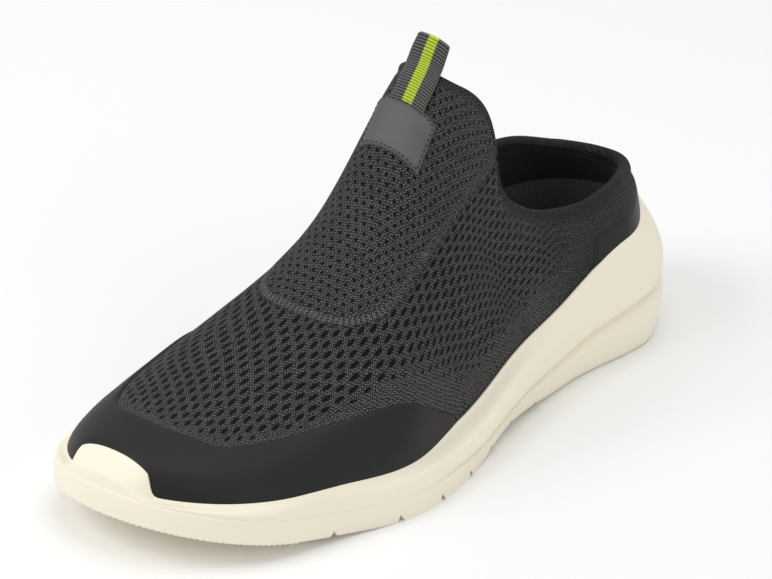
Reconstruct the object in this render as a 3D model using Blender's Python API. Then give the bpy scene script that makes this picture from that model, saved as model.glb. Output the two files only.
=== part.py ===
"""A left slip-on mule sneaker: a knitted upper on a one-piece moulded foam sole.

The shoe stands on its sole. +X runs from heel to toe, +Y to the outer side of the
foot and +Z up, in metres, with the origin on the floor under the middle of the sole.
"""

import math

import bmesh
import bpy
import numpy as np
from mathutils import Vector
from mathutils.bvhtree import BVHTree

# Driving dimensions of the sole
SOLE_LENGTH = 0.298
BALL_WIDTH = 0.1080
HEEL_RIM_HEIGHT = 0.0473
SIDE_FLARE = 0.011
TOE_SPRING = 0.0156
HEEL_BEVEL = 0.004
ARCH_RISE = 0.0025
BED_HEIGHT_HEEL = 0.024
BED_HEIGHT_BALL = 0.013
BED_TOE_RISE = 0.004
BUMPER_RISE = 0.0095
BUMPER_WIDTH = 0.0280
BUMPER_SLOPE = 0.004
RIM_WIDTH = 0.0014
EDGE_HEIGHT = 0.0022
NOTCH_DEPTH = 0.0045
NOTCH_WIDTH = 0.005

# Driving dimensions of the upper
TONGUE_HEIGHT = 0.1247
HEEL_INSET = 0.0058
TOE_INSET = 0.0060
WALL = 0.0024
COLLAR_WALL = 0.0042
INSOLE_THICKNESS = 0.0035
OVERLAY_THICKNESS = 0.0010
OVERLAY_RISE = 0.030

# Driving dimensions of the label and the pull loop
LABEL_WIDTH = 0.0285
LABEL_HEIGHT = 0.0195
LABEL_SHIFT = 0.005
LABEL_THICKNESS = 0.0011
LABEL_DROP = 0.015
WEBBING_WIDTH = 0.0145
WEBBING_THICKNESS = 0.0012
LOOP_REACH = 0.0105
LOOP_ANGLE = math.radians(62)
LOOP_EDGE = 0.003
LOOP_FOLD = 0.0014
LOOP_TUCK = 0.018

# Clearance between two pieces that touch
GAP = 0.0003

# Shares along the shoe of the grooves that cross the tread
NOTCHES = (0.380, 0.441, 0.503, 0.565, 0.634, 0.707, 0.798)

# How finely the curved forms are divided
STATIONS = 44
WALL_ROWS = 15
ROW_CROWDING = 0.5
OVERLAY_ROWS = 8
LINE_SAMPLES = 240

# Plan of the sole: swing is the middle of the outline, positive to the outer side,
# and half is half its width, both as shares of BALL_WIDTH, before the ends close.
PLAN = (
    # share, swing, half
    (0.00, -0.053, 0.350),
    (0.12, -0.012, 0.393),
    (0.28, -0.013, 0.400),
    (0.42, 0.016, 0.427),
    (0.56, 0.024, 0.498),
    (0.68, 0.000, 0.544),
    (0.80, -0.024, 0.486),
    (0.90, -0.039, 0.435),
    (1.00, -0.072, 0.421),
)
# Shares of the length over which each end of the plan closes as a quarter ellipse.
HEEL_ROUND = 0.1486
TOE_ROUND = 0.1503

# Side of the sole, from its rim at the upper down to its foot on the floor. Heights
# are shares of HEEL_RIM_HEIGHT above the tread and insets are shares of SIDE_FLARE.
SIDE = (
    # share, rim, shoulder, shoulder_in, groove, groove_in, belly, belly_in, foot_in
    (0.00, 0.842, 0.680, 0.10, 0.479, 0.22, 0.299, 0.00, 0.48),
    (0.06, 0.898, 0.670, 0.10, 0.486, 0.22, 0.290, 0.02, 0.40),
    (0.16, 0.926, 0.590, 0.10, 0.436, 0.22, 0.240, 0.06, 0.30),
    (0.30, 0.718, 0.500, 0.10, 0.336, 0.20, 0.170, 0.16, 0.57),
    (0.45, 0.486, 0.400, 0.12, 0.190, 0.26, 0.125, 0.30, 0.49),
    (0.62, 0.346, 0.290, 0.14, 0.154, 0.18, 0.115, 0.12, -0.07),
    (0.80, 0.354, 0.270, 0.14, 0.179, 0.14, 0.111, 0.06, 0.04),
    (1.00, 0.180, 0.200, 0.12, 0.188, 0.10, 0.107, 0.04, 0.05),
)

# The last: ridge is the top line seen from the side, as a share of TONGUE_HEIGHT,
# tuck is how far the upper stands inside the sole's outline at each side, as a share
# of SIDE_FLARE, square is how upright the walls of the section are and crown is how
# flat its top is.
LAST = (
    # share, ridge, swing, tuck, square, crown
    (0.00, 0.521, 0.007, 0.73, 1.99, 2.00),
    (0.12, 0.733, -0.182, 0.57, 1.54, 2.10),
    (0.30, 0.997, -0.246, 0.42, 0.95, 2.60),
    (0.44, 0.971, -0.096, 0.62, 0.74, 2.70),
    (0.56, 0.670, -0.051, 0.92, 1.22, 2.50),
    (0.68, 0.459, -0.038, 0.65, 1.88, 2.30),
    (0.80, 0.329, -0.098, 0.36, 2.31, 2.40),
    (0.90, 0.292, -0.069, 0.32, 2.30, 2.40),
    (1.00, 0.273, -0.069, 0.30, 2.30, 2.40),
)
HEEL_DOME = 0.0495
TOE_DOME = 0.0300

# The collar's edge from the heel past the throat to the tongue's top: base is the share
# along the sole where a line of the upper starts, reach is the share along the last
# where it ends and spread is how far out it ends, 0 on the ridge and 1 at the foot.
COLLAR = (
    # base, reach, spread
    (0.14, 0.126, 0.563),
    (0.22, 0.197, 0.595),
    (0.30, 0.255, 0.575),
    (0.37, 0.312, 0.525),
    (0.43, 0.352, 0.458),
    (0.48, 0.375, 0.406),
    (0.52, 0.373, 0.371),
    (0.56, 0.360, 0.326),
    (0.62, 0.354, 0.261),
    (0.70, 0.369, 0.201),
    (0.80, 0.394, 0.141),
    (0.90, 0.409, 0.080),
    (1.00, 0.414, 0.000),
)
# Top edges of the films over the toe and the heel: how far each reaches up the upper
# from the sole's rim, on the outer and inner side, as a share of OVERLAY_RISE.
TOE_OVERLAY = (
    # base, outer, inner
    (0.57, 0.10, 0.08),
    (0.62, 0.40, 0.25),
    (0.68, 0.74, 0.68),
    (0.75, 0.99, 0.87),
    (0.82, 1.04, 0.95),
    (0.90, 1.00, 1.00),
    (0.95, 0.95, 0.93),
    (0.98, 0.91, 0.90),
    (1.00, 1.06, 1.06),
)
HEEL_OVERLAY = (
    # base, outer, inner
    (0.00, 0.30, 0.30),
    (0.10, 0.26, 0.34),
    (0.17, 0.30, 0.40),
    (0.24, 0.40, 0.41),
    (0.30, 0.40, 0.41),
)
# Stations where each film starts on the outer side and ends on the inner side.
TOE_OVERLAY_FROM = 24
TOE_OVERLAY_TO = 25
HEEL_OVERLAY_FROM = 14
HEEL_OVERLAY_TO = 15

# Height of the collar at the back of the heel, as a share of TONGUE_HEIGHT.
HEEL_COLLAR = 0.4497


def column(table, index):
    """One column of a table as an array."""
    return np.array([row[index] for row in table])


def smooth(table, index, share):
    """A smooth curve through one column of a table against its first column."""
    xs = column(table, 0)
    ys = column(table, index)
    share = np.asarray(share, float)
    step = np.diff(xs)
    rise = np.diff(ys) / step
    slope = np.concatenate(
        ([rise[0]], (rise[:-1] * step[1:] + rise[1:] * step[:-1]) / (step[:-1] + step[1:]), [rise[-1]])
    )
    cell = np.clip(np.searchsorted(xs, share) - 1, 0, len(step) - 1)
    width = step[cell]
    t = (share - xs[cell]) / width
    start = ys[cell] * (1 + 2 * t) * (1 - t) ** 2 + slope[cell] * width * t * (1 - t) ** 2
    end = ys[cell + 1] * t * t * (3 - 2 * t) + slope[cell + 1] * width * t * t * (t - 1)
    return start + end


def ease(value):
    """0 below 0 and 1 above 1, with a soft turn at both."""
    value = np.clip(value, 0, 1)
    return value * value * (3 - 2 * value)


def end_round(share, reach):
    """0 at the end of the shoe and 1 from reach on, as a quarter ellipse."""
    return np.sqrt(1 - np.clip(1 - np.asarray(share, float) / reach, 0, 1) ** 2)


def plan_half(share):
    """Half the sole's width, in metres."""
    closing = end_round(share, HEEL_ROUND) * end_round(1 - np.asarray(share), TOE_ROUND)
    return BALL_WIDTH * smooth(PLAN, 2, share) * closing


def tread_height(share):
    """Height of the tread over the floor: toe spring, arch and heel bevel."""
    share = np.asarray(share, float)
    toe = TOE_SPRING * np.clip((share - 0.70) / 0.30, 0, 1) ** 1.8
    heel = HEEL_BEVEL * np.clip(1 - share / 0.09, 0, 1) ** 1.6
    arch = ARCH_RISE * np.sin(math.pi * np.clip((share - 0.30) / 0.26, 0, 1)) ** 2
    return toe + heel + arch


def bed_height(share):
    """Height of the sole's footbed, which the upper and insole stand on."""
    share = np.asarray(share, float)
    fall = ease((share - 0.22) / 0.42)
    toe = BED_TOE_RISE * np.clip((share - 0.70) / 0.30, 0, 1) ** 1.8
    return BED_HEIGHT_HEEL + (BED_HEIGHT_BALL - BED_HEIGHT_HEEL) * fall + toe


def side_rim_height(share):
    """Height of the sole's rim, without the bumper."""
    return tread_height(share) + HEEL_RIM_HEIGHT * smooth(SIDE, 1, share)


def rim_height(share):
    """Height of the sole's rim, with the bumper that laps over the tip of the toe."""
    share = np.asarray(share, float)
    beyond = (plan_half(share) - BUMPER_WIDTH / 2) / BUMPER_SLOPE
    bumper = BUMPER_RISE * (1 - ease(beyond)) * (share > 0.8)
    return side_rim_height(share) + bumper


def ring_stations():
    """Share along the shoe and side of each point of a ring, from the heel round."""
    turn = np.arange(2 * STATIONS) / STATIONS * math.pi
    share = (1 - np.cos(turn)) / 2
    side = np.where(np.arange(2 * STATIONS) <= STATIONS, 1.0, -1.0)
    return share, side


SHARE, HAND = ring_stations()


def sole_outline():
    """The sole's widest outline and its outward normal, point by point."""
    x = (SHARE - 0.5) * SOLE_LENGTH
    y = BALL_WIDTH * smooth(PLAN, 1, SHARE) + HAND * plan_half(SHARE)
    outline = np.column_stack((x, y))
    along = np.roll(outline, -1, 0) - np.roll(outline, 1, 0)
    normal = np.column_stack((-along[:, 1], along[:, 0]))
    normal /= np.linalg.norm(normal, axis=1)[:, None]
    return outline, normal


def last_x(share):
    """Distance along the shoe of a share of the upper's own length."""
    length = SOLE_LENGTH - HEEL_INSET - TOE_INSET
    return -SOLE_LENGTH / 2 + HEEL_INSET + length * np.asarray(share, float)


def last_width(share, hand):
    """From the ridge line out to the upper's foot on one side."""
    swing = BALL_WIDTH * (smooth(PLAN, 1, share) - smooth(LAST, 2, share))
    closing = end_round(share, HEEL_ROUND) * end_round(1 - np.asarray(share), TOE_ROUND)
    half = BALL_WIDTH * smooth(PLAN, 2, share) - SIDE_FLARE * smooth(LAST, 3, share)
    return (half + hand * swing) * closing


def last_ridge(share):
    """Y and height of the last's top line."""
    share = np.asarray(share, float)
    base = bed_height(share) + GAP
    crown = TONGUE_HEIGHT * smooth(LAST, 1, share) - base
    closing = end_round(share, HEEL_DOME) * end_round(1 - share, TOE_DOME)
    return BALL_WIDTH * smooth(LAST, 2, share), base + crown * closing


def last_point(share, spread):
    """A point of the last: spread is 1 at the outer foot, 0 on the ridge, -1 inside."""
    share = np.asarray(share, float)
    spread = np.clip(np.asarray(spread, float), -1, 1)
    hand = np.where(spread >= 0, 1.0, -1.0)
    angle = (1 - np.abs(spread)) * math.pi / 2
    square = smooth(LAST, 4, share)
    ridge_y, ridge_z = last_ridge(share)
    base = bed_height(share) + GAP
    crown = smooth(LAST, 5, share)
    y = ridge_y + hand * last_width(share, hand) * np.cos(angle) ** (2 / crown)
    z = base + (ridge_z - base) * np.sin(angle) ** (2 / square)
    return np.stack(np.broadcast_arrays(last_x(share), y, z), axis=-1)


def spread_at_height(share, height):
    """How far out the last has this height."""
    share = np.asarray(share, float)
    base = bed_height(share) + GAP
    part = np.clip((height - base) / (last_ridge(share)[1] - base), 0, 1)
    return 1 - np.arcsin(part ** (smooth(LAST, 4, share) / 2)) / (math.pi / 2)


def collar_end(share):
    """Share along the last, and spread, where the line of one station ends."""
    first, reach, spread = COLLAR[0]
    if share >= first:
        return float(smooth(COLLAR, 1, share)), float(smooth(COLLAR, 2, share))
    shares = np.linspace(0, HEEL_DOME, 200)
    back = np.interp(HEEL_COLLAR * TONGUE_HEIGHT, last_ridge(shares)[1], shares)
    part = share / first
    side = last_point(reach, spread)[2]
    height = HEEL_COLLAR * TONGUE_HEIGHT * (1 - ease(part)) + side * ease(part)
    end = back + (reach - back) * part
    return float(end), float(spread_at_height(end, height))


def line_of_upper(share, hand):
    """Points from the foot of the upper to its collar, dense, at one station."""
    end_share, end_spread = collar_end(share)
    end_spread *= hand
    t = (np.arange(LINE_SAMPLES + 1) / LINE_SAMPLES) ** 2
    shares = share + (end_share - share) * t * t
    start_width = hand * last_width(share, hand)
    end_width = end_spread * last_width(end_share, hand)
    flat = start_width + (end_width - start_width) * t
    width = np.maximum(last_width(shares, hand), 1e-9)
    spread = np.where(np.abs(flat) < 1e-9, 0.0, flat / width)
    if abs(start_width) > 1e-9:
        spread[0] = hand
    return last_point(shares, spread)


def cumulative(points):
    """Length along a line of points."""
    return np.concatenate(([0], np.cumsum(np.linalg.norm(np.diff(points, axis=0), axis=1))))


def along(points, lengths):
    """Points of a line at these lengths."""
    total = cumulative(points)
    return np.column_stack([np.interp(lengths, total, points[:, i]) for i in range(3)])


LINES = [line_of_upper(share, hand) for share, hand in zip(SHARE, HAND)]


def length_at_height(line, height):
    """Length along a line of the upper where it first reaches a height."""
    top = int(np.argmax(line[:, 2] >= height)) or 1
    total = cumulative(line)
    low, high = line[top - 1, 2], line[top, 2]
    part = (height - low) / max(high - low, 1e-12)
    return total[top - 1] + part * (total[top] - total[top - 1])


def upper_grid():
    """Outer surface of the upper: foot, insole level, sole rim, then up to the collar."""
    even = np.linspace(0, 1, WALL_ROWS + 1)
    steps = even - ROW_CROWDING * np.sin(2 * math.pi * even) / (2 * math.pi)
    columns = []
    for share, line in zip(SHARE, LINES):
        base = line[0, 2]
        at_rim = length_at_height(line, float(rim_height(share)))
        at_insole = min(length_at_height(line, base + INSOLE_THICKNESS), 0.72 * at_rim)
        rest = at_rim + (cumulative(line)[-1] - at_rim) * steps
        columns.append(along(line, np.concatenate(([0, at_insole], rest))))
    return np.array(columns).transpose(1, 0, 2)


def grid_normals(grid):
    """Outward normals of a grid of rings."""
    across = np.gradient(grid, axis=0)
    round_ = np.roll(grid, -1, 1) - np.roll(grid, 1, 1)
    normal = np.cross(across, round_)
    return normal / np.linalg.norm(normal, axis=2)[..., None]


UPPER = upper_grid()
UPPER_OUT = grid_normals(UPPER)


def wall_thickness():
    """The knit's wall, padded towards the collar round the heel."""
    rows = len(UPPER)
    height = ease((np.arange(rows) - 2) / (rows - 3))[:, None]
    heel = ease((0.50 - SHARE) / 0.15)[None, :]
    return WALL + (COLLAR_WALL - WALL) * height * heel


def upper_inside():
    """Inner surface of the upper, level with the outer one at the foot."""
    inside = UPPER - UPPER_OUT * wall_thickness()[..., None]
    flat = UPPER_OUT[:2, :, :2]
    flat = flat / np.linalg.norm(flat, axis=2)[..., None]
    inside[:2] = UPPER[:2]
    inside[:2, :, :2] -= flat * WALL
    return inside


UPPER_IN = upper_inside()


def material(name, colour, roughness):
    """A plain finish for one sub-part."""
    made = bpy.data.materials.new(name)
    made.use_nodes = True
    shader = made.node_tree.nodes["Principled BSDF"]
    shader.inputs["Base Color"].default_value = (*colour, 1)
    shader.inputs["Roughness"].default_value = roughness
    shader.inputs["Metallic"].default_value = 0.0
    return made


def add_object(name, mesh_points, faces, finish):
    """One named, closed object with its faces pointing out."""
    mesh = bpy.data.meshes.new(name)
    mesh.from_pydata([tuple(p) for p in mesh_points], [], faces)
    mesh.update()
    shape = bmesh.new()
    shape.from_mesh(mesh)
    bmesh.ops.recalc_face_normals(shape, faces=shape.faces)
    shape.to_mesh(mesh)
    shape.free()
    mesh.shade_smooth()
    mesh.set_sharp_from_angle(angle=math.radians(35))
    mesh.materials.append(finish)
    made = bpy.data.objects.new(name, mesh)
    bpy.context.scene.collection.objects.link(made)
    return made


def band_faces(first, second, count, wrap=True):
    """Triangles between two rings or rows of points that start at these indices."""
    faces = []
    for i in range(count if wrap else count - 1):
        j = (i + 1) % count
        faces.append((first + i, first + j, second + j))
        faces.append((first + i, second + j, second + i))
    return faces


def deck_faces(first):
    """Faces straight across a ring, from its outer side to its inner side."""
    other = 2 * STATIONS
    faces = []
    for i in range(STATIONS):
        quad = [first + i, first + i + 1, first + (other - i - 1) % other, first + (other - i) % other]
        faces.append(tuple(dict.fromkeys(quad)))
    return faces


def stack(rings, closed_below, closed_above):
    """Points and faces of rings joined in order, with decks across the end rings."""
    points = np.concatenate(rings)
    count = 2 * STATIONS
    faces = []
    for i in range(len(rings) - 1):
        faces += band_faces(i * count, (i + 1) * count, count)
    if closed_below:
        faces += deck_faces(0)
    if closed_above:
        faces += deck_faces((len(rings) - 1) * count)
    return points, faces


def ring_at(outline, normal, inset, height):
    """A ring inset from the sole's outline."""
    flat = outline - normal * np.asarray(inset)[:, None]
    return np.column_stack((flat, height))


def sole_rings():
    """The sole from its footbed up the inside, over the rim and down to the tread."""
    outline, normal = sole_outline()
    tread = tread_height(SHARE)

    def height(index):
        return tread + HEEL_RIM_HEIGHT * smooth(SIDE, index, SHARE)

    def inset(index):
        return SIDE_FLARE * smooth(SIDE, index, SHARE)

    out = unit(UPPER_OUT[:2] * (1, 1, 0))
    bed = UPPER[0] + out[0] * GAP
    bed[:, 2] -= GAP
    wall = UPPER[1] + out[1] * GAP
    lip = UPPER[2] + UPPER_OUT[2] * GAP
    rim = lip + np.column_stack((normal, np.zeros(len(normal)))) * RIM_WIDTH
    rim[:, 2] = lip[:, 2] - 0.2 * RIM_WIDTH
    shoulder = ring_at(outline, normal, inset(3), height(2))
    shoulder[:, 2] += 0.55 * (rim_height(SHARE) - side_rim_height(SHARE))
    groove = ring_at(outline, normal, inset(5), height(4))
    belly = ring_at(outline, normal, inset(7), height(6))
    edge = ring_at(outline, normal, 0.35 * inset(8) + 0.65 * inset(7), tread + EDGE_HEIGHT)
    foot = ring_at(outline, normal, inset(8), tread)
    return [bed, wall, lip, rim, shoulder, groove, belly, edge, foot]


def make_sole(finish):
    """The moulded foam sole."""
    points, faces = stack(sole_rings(), True, True)
    return add_object("sole", points, faces, finish)


def make_upper(finish):
    """The hollow knitted upper, open at the collar and underneath."""
    outer = list(UPPER)
    inner = list(UPPER_IN)
    rise = outer[-1] - outer[-2]
    rise = rise / np.linalg.norm(rise, axis=1)[:, None]
    rim = (outer[-1] + inner[-1]) / 2 + rise * wall_thickness()[-1][:, None] * 0.4
    rings = outer + [rim] + inner[::-1]
    points, faces = stack(rings, False, False)
    count = 2 * STATIONS
    faces += band_faces((len(rings) - 1) * count, 0, count)
    return add_object("upper", points, faces, finish)


def make_insole(finish):
    """The padded insole, which lies on the footbed inside the upper."""
    rings = []
    for row, drop in ((1, GAP), (0, 0.0)):
        out = UPPER_OUT[row] * (1, 1, 0)
        out /= np.linalg.norm(out, axis=1)[:, None]
        ring = UPPER_IN[row] - out * GAP
        ring[:, 2] -= drop
        rings.append(ring)
    points, faces = stack(rings, True, True)
    return add_object("insole", points, faces, finish)


def sheet_solid(surface, normal, low, high):
    """Points and faces of a sheet between two distances from a grid of points."""
    rows, columns = surface.shape[:2]
    points = np.concatenate((surface + normal * low, surface + normal * high)).reshape(-1, 3)
    faces = []
    for side in (0, rows * columns):
        for row in range(rows - 1):
            faces += band_faces(side + row * columns, side + (row + 1) * columns, columns, False)
    border = list(range(columns))
    border += [row * columns + columns - 1 for row in range(1, rows)]
    border += [(rows - 1) * columns + i for i in range(columns - 2, -1, -1)]
    border += [row * columns for row in range(rows - 2, 0, -1)]
    for i, first in enumerate(border):
        second = border[(i + 1) % len(border)]
        faces.append((first, second, second + rows * columns))
        faces.append((first, second + rows * columns, first + rows * columns))
    return points, faces


def sheet_normals(grid):
    """Normals of an open grid of rows."""
    return unit(np.cross(np.gradient(grid, axis=0), np.gradient(grid, axis=1)))


def unit(vectors):
    """Vectors scaled to length one."""
    return vectors / np.linalg.norm(vectors, axis=-1)[..., None]


def upper_tree():
    """The flat faces of the upper's outside, to measure against."""
    count = 2 * STATIONS
    faces = []
    for row in range(len(UPPER) - 1):
        faces += band_faces(row * count, (row + 1) * count, count)
    return BVHTree.FromPolygons([tuple(p) for p in UPPER.reshape(-1, 3)], faces)


def lift_over_facets(grid, normal):
    """How far each point of a sheet rises to clear the upper's flat faces round it."""
    tree = upper_tree()
    reach = 0.004
    rows, columns = grid.shape[:2]
    lift = np.zeros((rows, columns, 1))
    for i in range(rows):
        for j in range(columns):
            out = normal[i, j]
            for a, b in ((0, 0), (0, 1), (0, -1), (1, 0), (-1, 0), (1, 1), (-1, -1)):
                beside = grid[min(max(i + a, 0), rows - 1), min(max(j + b, 0), columns - 1)]
                middle = (grid[i, j] + beside) / 2
                hit = tree.ray_cast(Vector(middle + out * reach), Vector(-out), 2 * reach)[0]
                if hit is not None:
                    lift[i, j] = max(lift[i, j], (np.array(hit) - middle) @ out)
    return lift


def make_overlay(name, table, first, last, finish):
    """A film over the upper, from the sole's rim up to its own edge.

    It runs round the shoe from one station to another.
    """
    columns = []
    for station in range(first, last + 1):
        k = station % (2 * STATIONS)
        line = LINES[k]
        foot = length_at_height(line, float(rim_height(SHARE[k]))) + 4 * GAP
        side = 1 if HAND[k] > 0 else 2
        rise = OVERLAY_RISE * float(smooth(table, side, SHARE[k]))
        top = length_at_height(line, float(side_rim_height(SHARE[k]))) + rise
        columns.append(along(line, np.linspace(foot, top, OVERLAY_ROWS)))
    grid = np.array(columns).transpose(1, 0, 2)
    normal = sheet_normals(grid)
    grid = grid + normal * lift_over_facets(grid, normal)
    points, faces = sheet_solid(grid, normal, GAP, GAP + OVERLAY_THICKNESS)
    return add_object(name, points, faces, finish)


def vamp_point(down, across):
    """Point and normal of the upper, down from the tongue's top and out to one side."""
    top = COLLAR[-1][1]
    shares = np.linspace(top - 0.05, top + 0.3, 141)
    lengths = cumulative(last_point(shares, 0.0))
    share = np.interp(down, lengths - np.interp(top, shares, lengths), shares)
    spreads = np.linspace(0, 0.8, 81) * (1 if across >= 0 else -1)
    lengths = cumulative(last_point(np.full(81, share), spreads))
    spread = np.interp(abs(across), lengths, np.abs(spreads)) * (1 if across >= 0 else -1)
    step = 0.004
    ahead = last_point(share + step, spread) - last_point(share - step, spread)
    beside = last_point(share, spread + step) - last_point(share, spread - step)
    return last_point(share, spread), unit(np.cross(ahead, beside))


def vamp_grid(downs, acrosses):
    """Points and normals of the upper for each pair of distances."""
    found = [[vamp_point(down, across) for across in acrosses] for down in downs]
    return np.array([[p for p, _ in row] for row in found]), np.array([[n for _, n in row] for row in found])


def make_label(finish):
    """The bare patch sewn to the tongue below the pull loop."""
    downs = LABEL_DROP + LABEL_HEIGHT * np.linspace(0, 1, 7)
    acrosses = LABEL_SHIFT + LABEL_WIDTH * np.linspace(-0.5, 0.5, 9)
    surface, normal = vamp_grid(downs, acrosses)
    points, faces = sheet_solid(surface, normal, GAP, GAP + LABEL_THICKNESS)
    return add_object("label_patch", points, faces, finish)


def make_pull_loop(finish):
    """The webbing: up the outside of the tongue, over its top and down inside."""
    acrosses = LABEL_SHIFT + WEBBING_WIDTH * np.linspace(-0.5, 0.5, 7)
    outer = 2 * GAP + WEBBING_THICKNESS / 2
    inner = WALL + 2 * GAP + WEBBING_THICKNESS / 2
    front, front_out = vamp_grid(np.linspace(LABEL_DROP - GAP, -LOOP_EDGE, 8), acrosses)
    back, back_out = vamp_grid(np.linspace(-LOOP_EDGE, LOOP_TUCK, 8), acrosses)
    top = front[-1]
    up = np.array((-math.cos(LOOP_ANGLE), 0, math.sin(LOOP_ANGLE)))
    turn = LOOP_FOLD
    rows = []
    for part in np.linspace(0, 1, 8)[1:]:
        closing = ease((part - 0.4) / 0.6)
        open_ = (outer + inner) / 2 * (1 - closing) + turn * closing
        rows.append(((LOOP_REACH - turn) * part, open_))
    path = [(u, w) for u, w in rows]
    for angle in np.linspace(0, math.pi, 9)[1:-1]:
        path.append((LOOP_REACH - turn + turn * math.sin(angle), turn * math.cos(angle)))
    path += [(u, -w) for u, w in reversed(rows)]
    middle = [top + up * u + front_out[-1] * (w - WALL / 2) for u, w in path]
    grid = np.array(list(front + front_out * outer) + middle + list(back - back_out * inner))
    half = WEBBING_THICKNESS / 2
    points, faces = sheet_solid(grid, sheet_normals(grid), -half, half)
    return add_object("pull_loop", points, faces, finish)


def cut_notches(sole):
    """Cut the grooves that cross the tread."""
    for number, share in enumerate(NOTCHES):
        x = (share - 0.5) * SOLE_LENGTH
        z = float(tread_height(share))
        half = NOTCH_WIDTH / 2 * (NOTCH_DEPTH + 0.003) / NOTCH_DEPTH
        section = [(x - half, z - 0.003), (x + half, z - 0.003), (x, z + NOTCH_DEPTH)]
        points = [(a, y, b) for y in (-BALL_WIDTH, BALL_WIDTH) for a, b in section]
        faces = [(0, 1, 2), (3, 5, 4), (0, 3, 4, 1), (1, 4, 5, 2), (2, 5, 3, 0)]
        cutter = add_object("notch_cutter_%d" % number, points, faces, sole.data.materials[0])
        cutter.hide_render = True
        cutter.display_type = "WIRE"
        cut = sole.modifiers.new(cutter.name, "BOOLEAN")
        cut.operation = "DIFFERENCE"
        cut.solver = "EXACT"
        cut.object = cutter


def main():
    for old in list(bpy.data.objects):
        bpy.data.objects.remove(old)
    foam = material("cream_foam", (0.86, 0.82, 0.70), 0.6)
    knit = material("charcoal_knit", (0.045, 0.045, 0.043), 0.9)
    lining = material("black_textile", (0.02, 0.02, 0.02), 0.9)
    film = material("black_film", (0.018, 0.018, 0.018), 0.45)
    patch = material("grey_patch", (0.11, 0.105, 0.10), 0.6)
    webbing = material("charcoal_webbing", (0.05, 0.05, 0.05), 0.85)
    cut_notches(make_sole(foam))
    make_upper(knit)
    make_insole(lining)
    make_overlay("toe_overlay", TOE_OVERLAY, TOE_OVERLAY_FROM, 2 * STATIONS - TOE_OVERLAY_TO, film)
    make_overlay("heel_overlay", HEEL_OVERLAY, -HEEL_OVERLAY_TO, HEEL_OVERLAY_FROM, film)
    make_label(patch)
    make_pull_loop(webbing)


main()
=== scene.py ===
import math

import bmesh
import bpy
import numpy as np
from mathutils import Matrix, Vector


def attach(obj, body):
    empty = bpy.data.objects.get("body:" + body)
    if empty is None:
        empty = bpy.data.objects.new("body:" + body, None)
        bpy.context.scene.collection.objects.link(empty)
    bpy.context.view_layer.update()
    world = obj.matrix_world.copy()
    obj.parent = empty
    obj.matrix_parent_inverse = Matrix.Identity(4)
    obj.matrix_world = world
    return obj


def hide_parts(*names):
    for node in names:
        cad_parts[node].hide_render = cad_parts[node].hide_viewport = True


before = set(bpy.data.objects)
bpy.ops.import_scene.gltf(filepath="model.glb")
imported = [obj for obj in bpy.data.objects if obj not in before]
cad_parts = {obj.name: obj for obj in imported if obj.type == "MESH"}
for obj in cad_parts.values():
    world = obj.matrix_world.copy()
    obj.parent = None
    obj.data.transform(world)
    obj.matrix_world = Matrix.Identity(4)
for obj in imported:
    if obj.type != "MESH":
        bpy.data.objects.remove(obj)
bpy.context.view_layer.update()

# The foam sole
# One moulded unit of cream foam: a cup that holds the upper, a bumper over the toe, bands
# round the side with a crease between them, and nicks across the tread. The cup follows
# the last that the whole shoe is built over, so the last's measures come first.
SOLE_LENGTH = 0.298
BALL_WIDTH = 0.1080
HEEL_RIM_HEIGHT = 0.0473
SIDE_FLARE = 0.011
TOE_SPRING = 0.0156
HEEL_BEVEL = 0.004
ARCH_RISE = 0.0025
BED_HEIGHT_HEEL = 0.024
BED_HEIGHT_BALL = 0.013
BED_TOE_RISE = 0.004
BUMPER_RISE = 0.0095
BUMPER_WIDTH = 0.0280
BUMPER_SLOPE = 0.004
BUMPER_DOME = 0.42
TONGUE_HEIGHT = 0.1247
HEEL_INSET = 0.0058
TOE_INSET = 0.0060
HEEL_ROUND = 0.1486
TOE_ROUND = 0.1503
HEEL_DOME = 0.0495
TOE_DOME = 0.0300
HEEL_COLLAR = 0.4497
GAP = 0.0003
INSOLE_THICKNESS = 0.0035
PLAN = (
    # share, swing, half
    (0.00, -0.053, 0.350),
    (0.12, -0.012, 0.393),
    (0.28, -0.013, 0.400),
    (0.42, 0.016, 0.427),
    (0.56, 0.024, 0.498),
    (0.68, 0.000, 0.544),
    (0.80, -0.024, 0.486),
    (0.90, -0.039, 0.435),
    (1.00, -0.072, 0.421),
)
LAST = (
    # share, ridge, swing, tuck, square, crown
    (0.00, 0.521, 0.007, 0.73, 1.99, 2.00),
    (0.12, 0.733, -0.182, 0.57, 1.54, 2.10),
    (0.30, 0.997, -0.246, 0.42, 0.95, 2.60),
    (0.44, 0.971, -0.096, 0.62, 0.74, 2.70),
    (0.56, 0.670, -0.051, 0.92, 1.22, 2.50),
    (0.68, 0.459, -0.038, 0.65, 1.88, 2.30),
    (0.80, 0.329, -0.098, 0.36, 2.31, 2.40),
    (0.90, 0.292, -0.069, 0.32, 2.30, 2.40),
    (1.00, 0.273, -0.069, 0.30, 2.30, 2.40),
)
COLLAR = (
    # base, reach, spread
    (0.14, 0.126, 0.563),
    (0.22, 0.197, 0.595),
    (0.30, 0.255, 0.575),
    (0.37, 0.312, 0.525),
    (0.43, 0.352, 0.458),
    (0.48, 0.375, 0.406),
    (0.52, 0.373, 0.371),
    (0.56, 0.360, 0.326),
    (0.62, 0.354, 0.261),
    (0.70, 0.369, 0.201),
    (0.80, 0.394, 0.141),
    (0.90, 0.409, 0.080),
    (1.00, 0.414, 0.000),
)
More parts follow.
